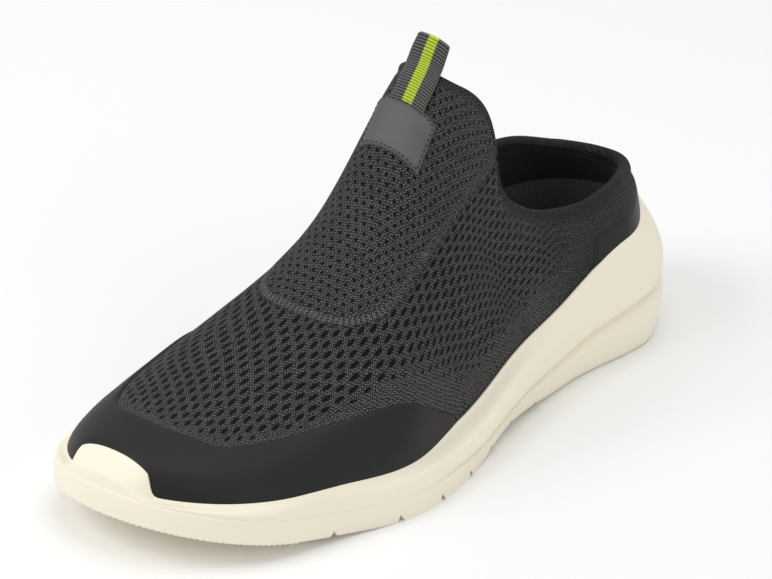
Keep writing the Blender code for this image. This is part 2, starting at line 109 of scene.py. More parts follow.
SIDE = (
    # share, rim, shoulder, shoulder_in, groove, groove_in, belly, belly_in, foot_in
    (0.00, 0.842, 0.680, 0.10, 0.479, 0.22, 0.299, 0.00, 0.48),
    (0.06, 0.898, 0.670, 0.10, 0.486, 0.22, 0.290, 0.02, 0.40),
    (0.16, 0.926, 0.590, 0.10, 0.436, 0.22, 0.240, 0.06, 0.30),
    (0.30, 0.718, 0.500, 0.10, 0.336, 0.20, 0.170, 0.16, 0.57),
    (0.45, 0.486, 0.400, 0.12, 0.190, 0.26, 0.125, 0.30, 0.49),
    (0.62, 0.346, 0.290, 0.14, 0.154, 0.18, 0.115, 0.12, -0.07),
    (0.80, 0.354, 0.270, 0.14, 0.179, 0.14, 0.111, 0.06, 0.04),
    (1.00, 0.180, 0.200, 0.12, 0.188, 0.10, 0.107, 0.04, 0.05),
)


def between_knots(first, second, start, end, t):
    """A smooth step from first to second, with these slopes at its two ends."""
    return (first * (1 + 2 * t) * (1 - t) ** 2 + start * t * (1 - t) ** 2
            + second * t * t * (3 - 2 * t) + end * t * t * (t - 1))


def smooth(table, index, share):
    """A smooth curve through one column of a table against its first column."""
    xs = np.array([row[0] for row in table])
    ys = np.array([row[index] for row in table])
    share = np.asarray(share, float)
    step = np.diff(xs)
    rise = np.diff(ys) / step
    inner = (rise[:-1] * step[1:] + rise[1:] * step[:-1]) / (step[:-1] + step[1:])
    slope = np.concatenate(([rise[0]], inner, [rise[-1]]))
    cell = np.clip(np.searchsorted(xs, share) - 1, 0, len(step) - 1)
    width = step[cell]
    t = (share - xs[cell]) / width
    start, end = slope[cell] * width, slope[cell + 1] * width
    return between_knots(ys[cell], ys[cell + 1], start, end, t)


def ease(value):
    """0 below 0 and 1 above 1, with a soft turn at both."""
    value = np.clip(value, 0, 1)
    return value * value * (3 - 2 * value)


def unit(vectors):
    """Vectors scaled to length one."""
    return vectors / np.maximum(np.linalg.norm(vectors, axis=-1), 1e-12)[..., None]


def ends_close(share):
    """0 at both tips of the plan and 1 between them, as quarter ellipses."""
    share = np.asarray(share, float)
    heel = np.sqrt(1 - np.clip(1 - share / HEEL_ROUND, 0, 1) ** 2)
    toe = np.sqrt(1 - np.clip(1 - (1 - share) / TOE_ROUND, 0, 1) ** 2)
    return heel * toe


def plan_half(share):
    return BALL_WIDTH * smooth(PLAN, 2, share) * ends_close(share)


def tread_height(share):
    """Height of the tread over the floor: toe spring, arch and heel bevel."""
    share = np.asarray(share, float)
    toe = TOE_SPRING * np.clip((share - 0.70) / 0.30, 0, 1) ** 1.8
    heel = HEEL_BEVEL * np.clip(1 - share / 0.09, 0, 1) ** 1.6
    arch = ARCH_RISE * np.sin(math.pi * np.clip((share - 0.30) / 0.26, 0, 1)) ** 2
    return toe + heel + arch


def bed_height(share):
    share = np.asarray(share, float)
    fall = ease((share - 0.22) / 0.42)
    toe = BED_TOE_RISE * np.clip((share - 0.70) / 0.30, 0, 1) ** 1.8
    return BED_HEIGHT_HEEL + (BED_HEIGHT_BALL - BED_HEIGHT_HEEL) * fall + toe


def side_rim_height(share):
    return tread_height(share) + HEEL_RIM_HEIGHT * smooth(SIDE, 1, share)


def rim_height(share):
    """Height of the sole's rim, with the bumper that laps over the tip of the toe."""
    share = np.asarray(share, float)
    beyond = (plan_half(share) - BUMPER_WIDTH / 2) / BUMPER_SLOPE
    dome = 1 - BUMPER_DOME * np.clip(plan_half(share) / (BUMPER_WIDTH / 2), 0, 1.3) ** 2
    end = 1 - ease((beyond + 0.7) / 2.0)
    return side_rim_height(share) + BUMPER_RISE * dome * end * (share > 0.8)


def last_width(share, hand):
    """From the ridge line out to the upper's foot on one side."""
    swing = BALL_WIDTH * (smooth(PLAN, 1, share) - smooth(LAST, 2, share))
    half = BALL_WIDTH * smooth(PLAN, 2, share) - SIDE_FLARE * smooth(LAST, 3, share)
    return (half + hand * swing) * ends_close(share)


def last_ridge(share):
    """Y and height of the last's top line."""
    share = np.asarray(share, float)
    base = bed_height(share) + GAP
    crown = TONGUE_HEIGHT * smooth(LAST, 1, share) - base
    heel = np.sqrt(1 - np.clip(1 - share / HEEL_DOME, 0, 1) ** 2)
    toe = np.sqrt(1 - np.clip(1 - (1 - share) / TOE_DOME, 0, 1) ** 2)
    return BALL_WIDTH * smooth(LAST, 2, share), base + crown * heel * toe


def last_point(share, spread):
    """A point of the last: spread is 1 at the outer foot, 0 on the ridge, -1 inside."""
    share = np.asarray(share, float)
    spread = np.clip(np.asarray(spread, float), -1, 1)
    hand = np.where(spread >= 0, 1.0, -1.0)
    angle = (1 - np.abs(spread)) * math.pi / 2
    ridge_y, ridge_z = last_ridge(share)
    base = bed_height(share) + GAP
    length = SOLE_LENGTH - HEEL_INSET - TOE_INSET
    x = -SOLE_LENGTH / 2 + HEEL_INSET + length * share
    y = ridge_y + hand * last_width(share, hand) * np.cos(angle) ** (2 / smooth(LAST, 5, share))
    z = base + (ridge_z - base) * np.sin(angle) ** (2 / smooth(LAST, 4, share))
    return np.stack(np.broadcast_arrays(x, y, z), axis=-1)


def collar_end(share):
    """Share along the last, and spread, where the knit's line from this station ends."""
    first, reach, spread = COLLAR[0]
    if share >= first:
        return float(smooth(COLLAR, 1, share)), float(smooth(COLLAR, 2, share))
    shares = np.linspace(0, HEEL_DOME, 200)
    back = np.interp(HEEL_COLLAR * TONGUE_HEIGHT, last_ridge(shares)[1], shares)
    part = share / first
    side = last_point(reach, spread)[2]
    height = HEEL_COLLAR * TONGUE_HEIGHT * (1 - ease(part)) + side * ease(part)
    end = back + (reach - back) * part
    base = bed_height(end) + GAP
    lift = np.clip((height - base) / (last_ridge(end)[1] - base), 0, 1)
    return float(end), float(1 - np.arcsin(lift ** (smooth(LAST, 4, end) / 2)) / (math.pi / 2))


def knit_line(share, hand, end):
    """Points, shares and spreads from the foot of the upper to its collar."""
    end_share, end_spread = end
    t = (np.arange(301) / 300) ** 2
    shares = share + (end_share - share) * t * t
    start = hand * last_width(share, hand)
    flat = start + (hand * end_spread * last_width(end_share, hand) - start) * t
    width = np.maximum(last_width(shares, hand), 1e-9)
    spread = np.where(np.abs(flat) < 1e-9, 0.0, flat / width)
    if abs(start) > 1e-9:
        spread[0] = hand
    spread = np.clip(spread, -1, 1)
    return last_point(shares, spread), shares, spread


def run_length(points):
    """Length along a line of points."""
    return np.concatenate(([0], np.cumsum(np.linalg.norm(np.diff(points, axis=0), axis=1))))


def pick(values, at, total):
    """Rows of values read off at these lengths."""
    return np.column_stack([np.interp(at, total, values[:, i]) for i in range(values.shape[1])])


def length_at_height(line, height):
    """Length along a knit line where it first reaches a height."""
    top = int(np.argmax(line[:, 2] >= height)) or 1
    total = run_length(line)
    low, high = line[top - 1, 2], line[top, 2]
    part = (height - low) / max(high - low, 1e-12)
    return total[top - 1] + part * (total[top] - total[top - 1])


HALF_ROUND = 176
COLLAR_EASING = 14
turn = np.arange(2 * HALF_ROUND) / HALF_ROUND * math.pi
SHARE = (1 - np.cos(turn)) / 2
HAND = np.where(np.arange(2 * HALF_ROUND) <= HALF_ROUND, 1.0, -1.0)
collar_ends = np.array([collar_end(share) for share in SHARE])
collar_ends[:, 1] *= HAND
for _ in range(COLLAR_EASING):
    collar_ends = (np.roll(collar_ends, 1, 0) + 2 * collar_ends + np.roll(collar_ends, -1, 0)) / 4
collar_ends[:, 1] *= HAND
LINES = [knit_line(share, hand, end) for share, hand, end in zip(SHARE, HAND, collar_ends)]
TOTAL = [run_length(line[0]) for line in LINES]


def lengths_at(heights):
    """Length along every knit line up to its own height."""
    return np.array([length_at_height(line[0], float(high)) for line, high in zip(LINES, heights)])


AT_RIM = lengths_at(rim_height(SHARE))
AT_SIDE_RIM = lengths_at(side_rim_height(SHARE))
AT_INSOLE = np.array([
    min(length_at_height(line[0], line[0][0, 2] + INSOLE_THICKNESS), 0.72 * rim)
    for line, rim in zip(LINES, AT_RIM)
])


def rows_of_knit(lengths):
    """Points, shares and spreads where each station's line has the lengths of its column."""
    points, places = [], []
    for (line, shares, spreads), total, at in zip(LINES, TOTAL, lengths.T):
        points.append(pick(line, at, total))
        places.append(pick(np.column_stack((shares, spreads)), at, total))
    return np.array(points).transpose(1, 0, 2), np.array(places).transpose(1, 0, 2)


def ring_normals(grid):
    """Outward normals of a grid of closed rings."""
    around = np.roll(grid, -1, 1) - np.roll(grid, 1, 1)
    return unit(np.cross(np.gradient(grid, axis=0), around))


# The sole's own measures, beside those of the last.
EDGE_HEIGHT = 0.0022
RIM_WIDTH = 0.0014
LIP_PROUD = 0.0008
CREST_PROUD = 0.0005
SHOULDER_BACK = 0.0012
GROOVE_DEEPER = 0.0018
FRONT_FLATTER = 0.0004
BROW_PART = 0.84
LOBE_PART = 0.45
FOOT_BEVEL = 0.0006
FOOT_BEVEL_HEIGHT = 0.0005
NICKS = (0.380, 0.441, 0.503, 0.565, 0.634, 0.707, 0.798)
NICK_HALF = 0.0016
NICK_DEPTH = 0.0026
NICK_BELOW = 0.002
NICK_REACH = 0.09
WEDGE_FACES = ((0, 1, 2), (3, 5, 4), (0, 3, 4, 1), (1, 4, 5, 2), (2, 5, 3, 0))

foot_rows, foot_place = rows_of_knit(np.array([AT_INSOLE * 0, AT_INSOLE, AT_RIM]))
foot_out = ring_normals(foot_rows)
lip_share, lip_spread = foot_place[2].T
toward_toe, toward_heel = np.minimum(lip_share + 0.002, 0.999), np.maximum(lip_share - 0.002, 0.001)
forward = last_point(toward_toe, lip_spread) - last_point(toward_heel, lip_spread)
lower, higher = lip_spread + 0.004 * HAND, lip_spread - 0.004 * HAND
outward = last_point(lip_share, lower) - last_point(lip_share, higher)
lip_out = unit(np.cross(outward, forward)) * -HAND[:, None]
centre = BALL_WIDTH * smooth(PLAN, 1, SHARE)
outline = np.column_stack(((SHARE - 0.5) * SOLE_LENGTH, centre + HAND * plan_half(SHARE)))
ahead = np.roll(outline, -1, 0) - np.roll(outline, 1, 0)
outline_out = unit(np.column_stack((-ahead[:, 1], ahead[:, 0])))


def side_ring(inset, height):
    """A ring of the sole's side, inset from its widest outline."""
    return np.column_stack((outline - outline_out * inset[:, None], height))


tread = tread_height(SHARE)
flat_out = unit(foot_out[:2] * (1, 1, 0))
bed = foot_rows[0] + flat_out[0] * GAP - (0, 0, GAP)
cup = foot_rows[1] + flat_out[1] * GAP
lip = foot_rows[2] + lip_out * GAP
bumper = ((rim_height(SHARE) - side_rim_height(SHARE)) / BUMPER_RISE)[:, None]
rim = lip + np.column_stack((outline_out, 0 * tread)) * RIM_WIDTH
rim[:, 2] = lip[:, 2] - 0.2 * RIM_WIDTH
rim = rim + lip_out * LIP_PROUD * bumper
shoulder_in, groove_in, belly_in, foot_in = (
    SIDE_FLARE * smooth(SIDE, column, SHARE) for column in (3, 5, 7, 8))
shoulder_height, groove_height, belly_height = (
    tread + HEEL_RIM_HEIGHT * smooth(SIDE, column, SHARE) for column in (2, 4, 6))
shoulder_height += 0.55 * (rim_height(SHARE) - side_rim_height(SHARE))
shoulder = side_ring(shoulder_in + SHOULDER_BACK * bumper[:, 0], shoulder_height)
crease = ease((0.72 - SHARE) / 0.30)
groove_deep = groove_in + GROOVE_DEEPER * crease - FRONT_FLATTER * (1 - crease)
groove = side_ring(groove_deep, groove_height)
belly = side_ring(belly_in, belly_height)
edge = side_ring(0.35 * foot_in + 0.65 * belly_in, tread + EDGE_HEIGHT)
foot = side_ring(foot_in, tread)


def bend(rings, steps):
    """Rings on a smooth curve through these rings."""
    made = []
    for i in range(len(rings) - 1):
        before = rings[max(i - 1, 0)]
        first, second = rings[i], rings[i + 1]
        after = rings[min(i + 2, len(rings) - 1)]
        span = np.linalg.norm(second - first, axis=1)[:, None]
        to_before = np.linalg.norm(first - before, axis=1)[:, None] + 1e-9
        to_after = np.linalg.norm(after - second, axis=1)[:, None] + 1e-9
        start = (second - before) * span / (span + to_before)
        end = (after - first) * span / (span + to_after)
        for t in np.arange(steps[i]) / steps[i]:
            made.append(between_knots(first, second, start, end, t))
    return made + [rings[-1]]


crest = (lip + rim) / 2 + np.column_stack((0 * outline_out, 0 * tread + 0.35 * RIM_WIDTH))
crest = crest + lip_out * CREST_PROUD * bumper
brow_height = shoulder_height + (groove_height - shoulder_height) * BROW_PART
brow = side_ring(0.80 * shoulder_in + 0.20 * groove_in, brow_height)
lobe_in = belly_in * (1 - 0.4 * crease) + 0.25 * (groove_in - belly_in) * (1 - crease)
lobe = side_ring(lobe_in, groove_height + (belly_height - groove_height) * LOBE_PART)
side_rings = bend([lip, crest, rim, shoulder, brow, groove], (2, 3, 12, 9, 5))
side_rings += bend([groove, lobe, belly, edge], (6, 6, 7))[1:]
sole_rings = [bed, cup] + side_rings + [0.35 * foot + 0.65 * edge, foot]
sole_rings[-2][:, 2] = tread + FOOT_BEVEL_HEIGHT
sole_rings[-1] = side_ring(foot_in + FOOT_BEVEL, tread)


def ring_mesh(name, rings, low=False, high=False, loop=False):
    """A mesh of closed rings, with the first or last ring decked, or joined end to end."""
    rings = np.asarray(rings)
    rows, count = rings.shape[:2]
    faces = []
    for i in range(rows if loop else rows - 1):
        a, b = i * count, (i + 1) % rows * count
        faces += [(a + j, a + (j + 1) % count, b + (j + 1) % count, b + j) for j in range(count)]
    for wanted, first in ((low, 0), (high, (rows - 1) * count)):
        if wanted:
            for i in range(count // 2):
                quad = [first + k % count for k in (i, i + 1, count - i - 1, count - i)]
                faces.append(tuple(dict.fromkeys(quad)))
    return new_piece(name, rings.reshape(-1, 3), faces)


def new_piece(name, points, faces, crease=40):
    """One named object of the shoe, smooth apart from its sharp edges."""
    mesh = bpy.data.meshes.new(name)
    mesh.from_pydata([tuple(p) for p in points], [], faces)
    mesh.update()
    shape = bmesh.new()
    shape.from_mesh(mesh)
    bmesh.ops.recalc_face_normals(shape, faces=shape.faces)
    shape.to_mesh(mesh)
    shape.free()
    mesh.shade_smooth()
    mesh.set_sharp_from_angle(angle=math.radians(crease))
    made = bpy.data.objects.new(name, mesh)
    bpy.context.scene.collection.objects.link(made)
    return made


sole = ring_mesh("foam_sole", sole_rings, low=True, high=True)

nick_points, nick_faces = [], []
for share in NICKS:
    x, z = (share - 0.5) * SOLE_LENGTH, float(tread_height(share))
    wide = NICK_HALF * (NICK_DEPTH + NICK_BELOW) / NICK_DEPTH
    wedge = ((x - wide, z - NICK_BELOW), (x + wide, z - NICK_BELOW), (x, z + NICK_DEPTH))
    first = len(nick_points)
    nick_points += [(a, y, b) for y in (-NICK_REACH, NICK_REACH) for a, b in wedge]
    nick_faces += [tuple(first + i for i in face) for face in WEDGE_FACES]
nicks = new_piece("nick_cutter", nick_points, nick_faces)
cut = sole.modifiers.new("nicks", "BOOLEAN")
cut.operation = "DIFFERENCE"
cut.solver = "EXACT"
cut.object = nicks
nicked = bpy.data.meshes.new_from_object(sole.evaluated_get(bpy.context.evaluated_depsgraph_get()))
sole.modifiers.clear()
sole.data = nicked
sole.data.set_sharp_from_angle(angle=math.radians(40))
bpy.data.objects.remove(nicks)

# Small square teeth stand round the edge of the tread at the toe and the heel.
TOOTH_STEP = 0.0022
TOOTH_HALF = 0.00062
TOOTH_HEIGHT = 0.0010
TOOTH_PROUD = 0.00032
TOOTH_FREE = (0.09, 0.85)
TOOTH_FACES = ((3, 2, 1, 0), (4, 5, 6, 7), (0, 1, 5, 4), (1, 2, 6, 5), (2, 3, 7, 6), (3, 0, 4, 7))
foot_line = sole_rings[-1]
round_foot = np.vstack((foot_line, foot_line[:1]))
foot_run = run_length(round_foot)
tooth_points, tooth_faces = [], []
for at in np.arange(0, foot_run[-1], TOOTH_STEP):
    share = np.interp(at, foot_run, np.concatenate((SHARE, SHARE[:1])))
    if TOOTH_FREE[0] < share < TOOTH_FREE[1]:
        continue
    base = pick(round_foot, np.array([at, at + 1e-4]), foot_run)
    forward = unit(base[1] - base[0])
    outward = np.array((-forward[1], forward[0], 0.0))
    rise = np.array((0, 0, 1.0))
    first = len(tooth_points)
    for along, out, high in (
        (-1, -0.8, 0.05), (1, -0.8, 0.05), (1, 1.7, 0.05), (-1, 1.7, 0.05),
        (-0.8, -0.8, 1.0), (0.8, -0.8, 1.0), (0.8, 2.4, 0.9), (-0.8, 2.4, 0.9),
    ):
        corner = base[0] + forward * along * TOOTH_HALF + outward * out * TOOTH_PROUD
        tooth_points.append(corner + rise * high * TOOTH_HEIGHT)
    tooth_faces += [tuple(first + i for i in face) for face in TOOTH_FACES]
teeth = new_piece("tread_teeth", tooth_points, tooth_faces)


class Value:
    """A value that varies over a surface. Arithmetic on it adds Math nodes."""

    def __init__(self, tree, socket=None):
        self.tree = tree
        self.socket = socket

    def node(self, kind, settings=None, inputs=None, out=0):
        made = self.tree.nodes.new(kind)
        for key, value in (settings or {}).items():
            setattr(made, key, value)
        for key, value in (inputs or {}).items():
            if isinstance(value, Value):
                self.tree.links.new(value.socket, made.inputs[key])
            else:
                made.inputs[key].default_value = value
        return Value(self.tree, made.outputs[out])

    def math(self, operation, *values):
        return self.node("ShaderNodeMath", {"operation": operation}, dict(enumerate(values)))

    def __add__(self, other):
        return self.math("ADD", self, other)

    def __radd__(self, other):
        return self.math("ADD", other, self)

    def __sub__(self, other):
        return self.math("SUBTRACT", self, other)

    def __rsub__(self, other):
        return self.math("SUBTRACT", other, self)

    def __mul__(self, other):
        return self.math("MULTIPLY", self, other)

    def __rmul__(self, other):
        return self.math("MULTIPLY", other, self)

    def __truediv__(self, other):
        return self.math("DIVIDE", self, other)

    def __rtruediv__(self, other):
        return self.math("DIVIDE", other, self)

    def absolute(self):
        return self.math("ABSOLUTE", self)

    def sine(self):
        return self.math("SINE", self)

    def wave(self, length):
        """A wave between 0 and 1 that repeats after this length."""
        return 0.5 + 0.5 * (self * (math.tau / length)).sine()

    def between(self, low, high):
        """0 at low and 1 at high, soft at both; high may be under low."""
        made = self.node("ShaderNodeMapRange", {"interpolation_type": "SMOOTHSTEP"},
                         {0: self, 1: min(low, high), 2: max(low, high), 3: 0.0, 4: 1.0})
        return made if low < high else 1 - made

    def parts(self):
        """The three numbers of a vector."""
        made = self.node("ShaderNodeSeparateXYZ", {}, {0: self})
        outputs = made.socket.node.outputs
        return [Value(self.tree, outputs[i]) for i in range(3)]

    def colour(self, first, second):
        """A colour that runs from first to second as this value runs from 0 to 1."""
        return self.node("ShaderNodeMix", {"data_type": "RGBA"}, {0: self, 6: first, 7: second}, 2)


def finish_of(name, roughness, sheen=0.0, specular=0.5):
    """A new material, the place on its piece as a value, and its shader."""
    made = bpy.data.materials.new(name)
    made.use_nodes = True
    shader = made.node_tree.nodes["Principled BSDF"]
    shader.inputs["Roughness"].default_value = roughness
    shader.inputs["Sheen Weight"].default_value = sheen
    shader.inputs["Sheen Roughness"].default_value = 0.5
    shader.inputs["Specular IOR Level"].default_value = specular
    place = Value(made.node_tree).node("ShaderNodeTexCoord", {}, {}, "Object")
    return made, place, shader


def wire(value, shader, socket):
    value.tree.links.new(value.socket, shader.inputs[socket])


def noise(place, scale, detail):
    """Soft mottling with this many waves in a metre."""
    inputs = {"Vector": place, "Scale": scale, "Detail": detail}
    return place.node("ShaderNodeTexNoise", {}, inputs, "Fac")


def bump(shader, height, strength, distance):
    """Relief on a finish, this far in metres from its lowest to its highest."""
    relief = {"Strength": strength, "Distance": distance, "Height": height}
    wire(height.node("ShaderNodeBump", {}, relief), shader, "Normal")


CREAM_DEEP = (0.90, 0.83, 0.66, 1)
CREAM_LIGHT = (0.93, 0.875, 0.725, 1)
CREAM_SHADED = (0.70, 0.66, 0.56, 1)
foam, place, shader = finish_of("cream_foam_finish", 0.55, sheen=0.08)
grain = noise(place, 1400.0, 2.0)
cloud = noise(place, 18.0, 3.0)
height_up = place.parts()[2]
# Painted shade: the cream turns darker, in mottled patches, within 6 mm of the floor.
floor_shade = (1 - height_up.between(0.0, 0.006)) * cloud
cream = (0.15 + 0.7 * cloud).colour(CREAM_DEEP, CREAM_LIGHT)
cream = (floor_shade * 0.35).colour(cream, CREAM_SHADED)
wire(cream, shader, "Base Color")
wire(0.5 + 0.12 * cloud, shader, "Roughness")
bump(shader, grain, 0.25, 0.0002)
for piece in (sole, teeth):
    piece.data.materials.clear()
    piece.data.materials.append(foam)
    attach(piece, "root")
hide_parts("sole")

# The insole
# A foam pad with a woven top cloth, cut to the last's foot and laid on the footbed.
WALL = 0.0024
COLLAR_WALL = 0.0042
CLOTH_THREAD = 0.0011
# Painted light: the cloth's colours are lighter than the cloth, standing in for light that the
# shaded inside of the shoe does not get.
CLOTH_DARK = (0.050, 0.049, 0.049, 1)
CLOTH_LIGHT = (0.330, 0.322, 0.315, 1)
pad_ring = foot_rows[0] - flat_out[0] * (WALL + GAP)
pad_top = foot_rows[1] - flat_out[1] * (WALL + GAP)
top_height = bed_height(SHARE) + GAP + INSOLE_THICKNESS
pad_rings = [pad_ring, np.column_stack((pad_top[:, :2], top_height - 0.0012))]
for inset, drop in ((0.0004, 0.0004), (0.0012, 0.0001), (0.004, -0.0001)):
    pad_flat = pad_top[:, :2] - flat_out[1][:, :2] * inset
    pad_rings.append(np.column_stack((pad_flat, top_height - drop)))
last_ring = pad_rings[-1]
mirror_ring = last_ring[(2 * HALF_ROUND - np.arange(2 * HALF_ROUND)) % (2 * HALF_ROUND)]
for part in (0.15, 0.32, 0.5, 0.68, 0.85):
    ring = last_ring + (mirror_ring - last_ring) * part / 2
    ring[:, 2] -= 0.0006 * ease(part / 0.6) * ease((0.3 - SHARE) / 0.2)
    pad_rings.append(ring)
insole = ring_mesh("insole_pad", pad_rings, low=True, high=True)

cloth, place, shader = finish_of("insole_cloth", 0.9, sheen=0.1, specular=0.2)
x, y, _ = place.parts()
warp = ((x + y) * (math.tau / CLOTH_THREAD)).sine()
weft = ((x - y) * (math.tau / CLOTH_THREAD)).sine()
weave = 0.5 + 0.25 * warp * weft + 0.25 * warp
cloud = noise(place, 900.0, 2.0)
weave_light = weave * (0.6 + 0.8 * cloud)
wire(weave_light.colour(CLOTH_DARK, CLOTH_LIGHT), shader, "Base Color")
bump(shader, weave, 0.6, 0.0003)
insole.data.materials.append(cloth)
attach(insole, "root")
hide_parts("insole")

# The knitted upper
# One engineered knit from the toe to the heel: a sock panel with round pinholes, long
# open slots over the vamp, denser ones on the quarters, fine ribs low down and a rolled edge.
KNIT_ROWS = 92
ROW_CROWDING = 0.5
ROLL_STEPS = 9
BELOW_RIM = 0.004
PIN_ALONG_ROW = 0.0037
PIN_BETWEEN_ROWS = 0.0033
SLOT_ALONG = 0.0064
VAMP_ROW = 0.0032
QUARTER_ROW = 0.0026
QUARTER_ALONG = 0.0054
OVERLAY_RISE = 0.030
COLLAR_PAD = 0.0007
BEAD_PROUD = 0.00035
BEAD_GROOVE = 0.00025
SEAM_PROUD = 0.00012
SEAM_GROOVE = 0.0002
SEAM_TICK = 0.0020
SEAM_DASH = 0.0034
GUIDE_TURN = 0.600
GUIDE_SPREAD = 0.332
GUIDE_MEET = 0.80
GUIDE_EASING = 12
ROLL_OVER = 0.00035
ROLL_STEP = 0.0007
INNER_PAST = 0.02
YARN_DEEP = (0.0085, 0.0085, 0.0082, 1)
YARN_LIGHT = (0.180, 0.176, 0.168, 1)
HOLE_DARK = (0.0015, 0.0015, 0.0015, 1)
TOE_OVERLAY = (
    # base, outer, inner
    (0.57, 0.10, 0.08),
    (0.62, 0.40, 0.25),
    (0.68, 0.74, 0.68),
    (0.75, 0.99, 0.87),
    (0.82, 1.04, 0.95),
    (0.90, 1.00, 1.00),
    (0.95, 0.95, 0.93),
    (0.98, 0.91, 0.90),
    (1.00, 1.06, 1.06),
)
HEEL_OVERLAY = (
    # base, outer, inner
    (0.00, 0.30, 0.30),
    (0.10, 0.26, 0.34),
    (0.17, 0.30, 0.40),
    (0.24, 0.40, 0.41),
    (0.30, 0.40, 0.41),
)
SOCK_SEAM = (
    # share, spread, from the throat's inner corner round the toe to the outer one
    (0.345, -0.330), (0.390, -0.335), (0.435, -0.335), (0.492, -0.340), (0.540, -0.335),
    (0.584, -0.335), (0.618, -0.315), (0.643, -0.265), (0.662, -0.191), (0.671, -0.105),
    (0.674, -0.015), (0.673, 0.070), (0.668, 0.151), (0.654, 0.236), (0.623, 0.307),
    (0.584, 0.332), (0.540, 0.330), (0.492, 0.332), (0.435, 0.330), (0.390, 0.332),
    (0.345, 0.335),
)

even = np.linspace(0, 1, KNIT_ROWS + 1)
steps = even - ROW_CROWDING * np.sin(2 * math.pi * even) / (2 * math.pi)
knit_end = np.array([total[-1] for total in TOTAL])
knit_start = np.maximum(AT_RIM - BELOW_RIM, 0.5 * AT_INSOLE)
knit_at = knit_start + (knit_end - knit_start) * steps[:, None]
knit, knit_place = rows_of_knit(knit_at)
knit_out = ring_normals(knit)
from_collar = knit_end - knit_at

# Distances over the last: along its ridge from the heel, and round its girth from the ridge.
GIRTH_SHARES = np.linspace(0.0, 1.0, 241)
GIRTH_SPREADS = np.linspace(0.0, 1.0, 101)
ridge_run = run_length(last_point(GIRTH_SHARES[6:-2], 0.0))
ridge_run = np.interp(GIRTH_SHARES, GIRTH_SHARES[6:-2], ridge_run)


def girth_table(hand):
    """Length round the last from its ridge, for each share and spread."""
    shares, spreads = np.meshgrid(GIRTH_SHARES, GIRTH_SPREADS, indexing="ij")
    points = last_point(shares, hand * np.maximum(spreads, 1e-6))
    step = np.linalg.norm(np.diff(points, axis=1), axis=2)
    return np.concatenate((np.zeros((len(GIRTH_SHARES), 1)), np.cumsum(step, axis=1)), axis=1)


GIRTHS = {1.0: girth_table(1.0), -1.0: girth_table(-1.0)}


def read_table(values, share, spread):
    """A value between the rows and columns of a girth table."""
    a = np.clip(share, 0, 1) * (len(GIRTH_SHARES) - 1)
    b = np.clip(np.abs(spread), 0, 1) * (len(GIRTH_SPREADS) - 1)
    i = np.minimum(a.astype(int), len(GIRTH_SHARES) - 2)
    j = np.minimum(b.astype(int), len(GIRTH_SPREADS) - 2)
    s, t = a - i, b - j
    low = values[i, j] * (1 - t) + values[i, j + 1] * t
    high = values[i + 1, j] * (1 - t) + values[i + 1, j + 1] * t
    return low * (1 - s) + high * s


def over_last(share, spread):
    """Distance along the ridge and round the girth, signed by side."""
    run = np.interp(share, GIRTH_SHARES, ridge_run)
    outer = read_table(GIRTHS[1.0], share, spread)
    inner = read_table(GIRTHS[-1.0], share, spread)
    return run, np.where(spread >= 0, outer, -inner)


def film_rise(share, hand):
    """How far the smooth films reach up the knit from the sole's rim."""
    toe_start, heel_end = TOE_OVERLAY[0][0], HEEL_OVERLAY[-1][0]
    front, back = np.maximum(share, toe_start), np.minimum(share, heel_end)
    toe = np.where(hand > 0, smooth(TOE_OVERLAY, 1, front), smooth(TOE_OVERLAY, 2, front))
    heel = np.where(hand > 0, smooth(HEEL_OVERLAY, 1, back), smooth(HEEL_OVERLAY, 2, back))
    toe = toe * ease((share - toe_start) / 0.05 + 1)
    heel = heel * ease((heel_end - share) / 0.05)
    return OVERLAY_RISE * (toe + heel)


from_film = knit_at - AT_SIDE_RIM - film_rise(SHARE, HAND)
run, girth = over_last(knit_place[..., 0], knit_place[..., 1])

# The seam of the sock panel, as a line over the last.
seam_knots = [(i, *place) for i, place in enumerate(SOCK_SEAM)]
seam_fine = np.linspace(0, len(SOCK_SEAM) - 1, 161)
seam_place = np.column_stack([smooth(seam_knots, column, seam_fine) for column in (1, 2)])


def from_line(spots, places):
    """Distance of spots from a line over the last, its sign by side, and the length along it."""
    line = last_point(places[:, 0], places[:, 1])
    total = run_length(line)
    line_flat = np.column_stack(over_last(places[:, 0], places[:, 1]))
    flat_spots = np.column_stack((run.ravel(), girth.ravel()))
    spots = spots.reshape(-1, 3)
    best = np.full(len(spots), 1e9)
    reach = np.zeros(len(spots))
    side = np.ones(len(spots))
    for i in range(len(line) - 1):
        step = line[i + 1] - line[i]
        t = np.clip(((spots - line[i]) @ step) / (step @ step), 0, 1)
        far = np.linalg.norm(spots - line[i] - t[:, None] * step, axis=1)
        nearer = far < best
        best = np.where(nearer, far, best)
        reach = np.where(nearer, total[i] + t * (total[i + 1] - total[i]), reach)
        across = line_flat[i + 1] - line_flat[i]
        away = flat_spots - line_flat[i]
        side = np.where(nearer, np.sign(across[0] * away[:, 1] - across[1] * away[:, 0]), side)
    return (best * side).reshape(run.shape), reach.reshape(run.shape)


seam_away, seam_along = from_line(knit, seam_place)


def hump(value, middle, width):
    """1 at the middle, falling away to both sides."""
    return np.exp(-((value - middle) / width) ** 2)


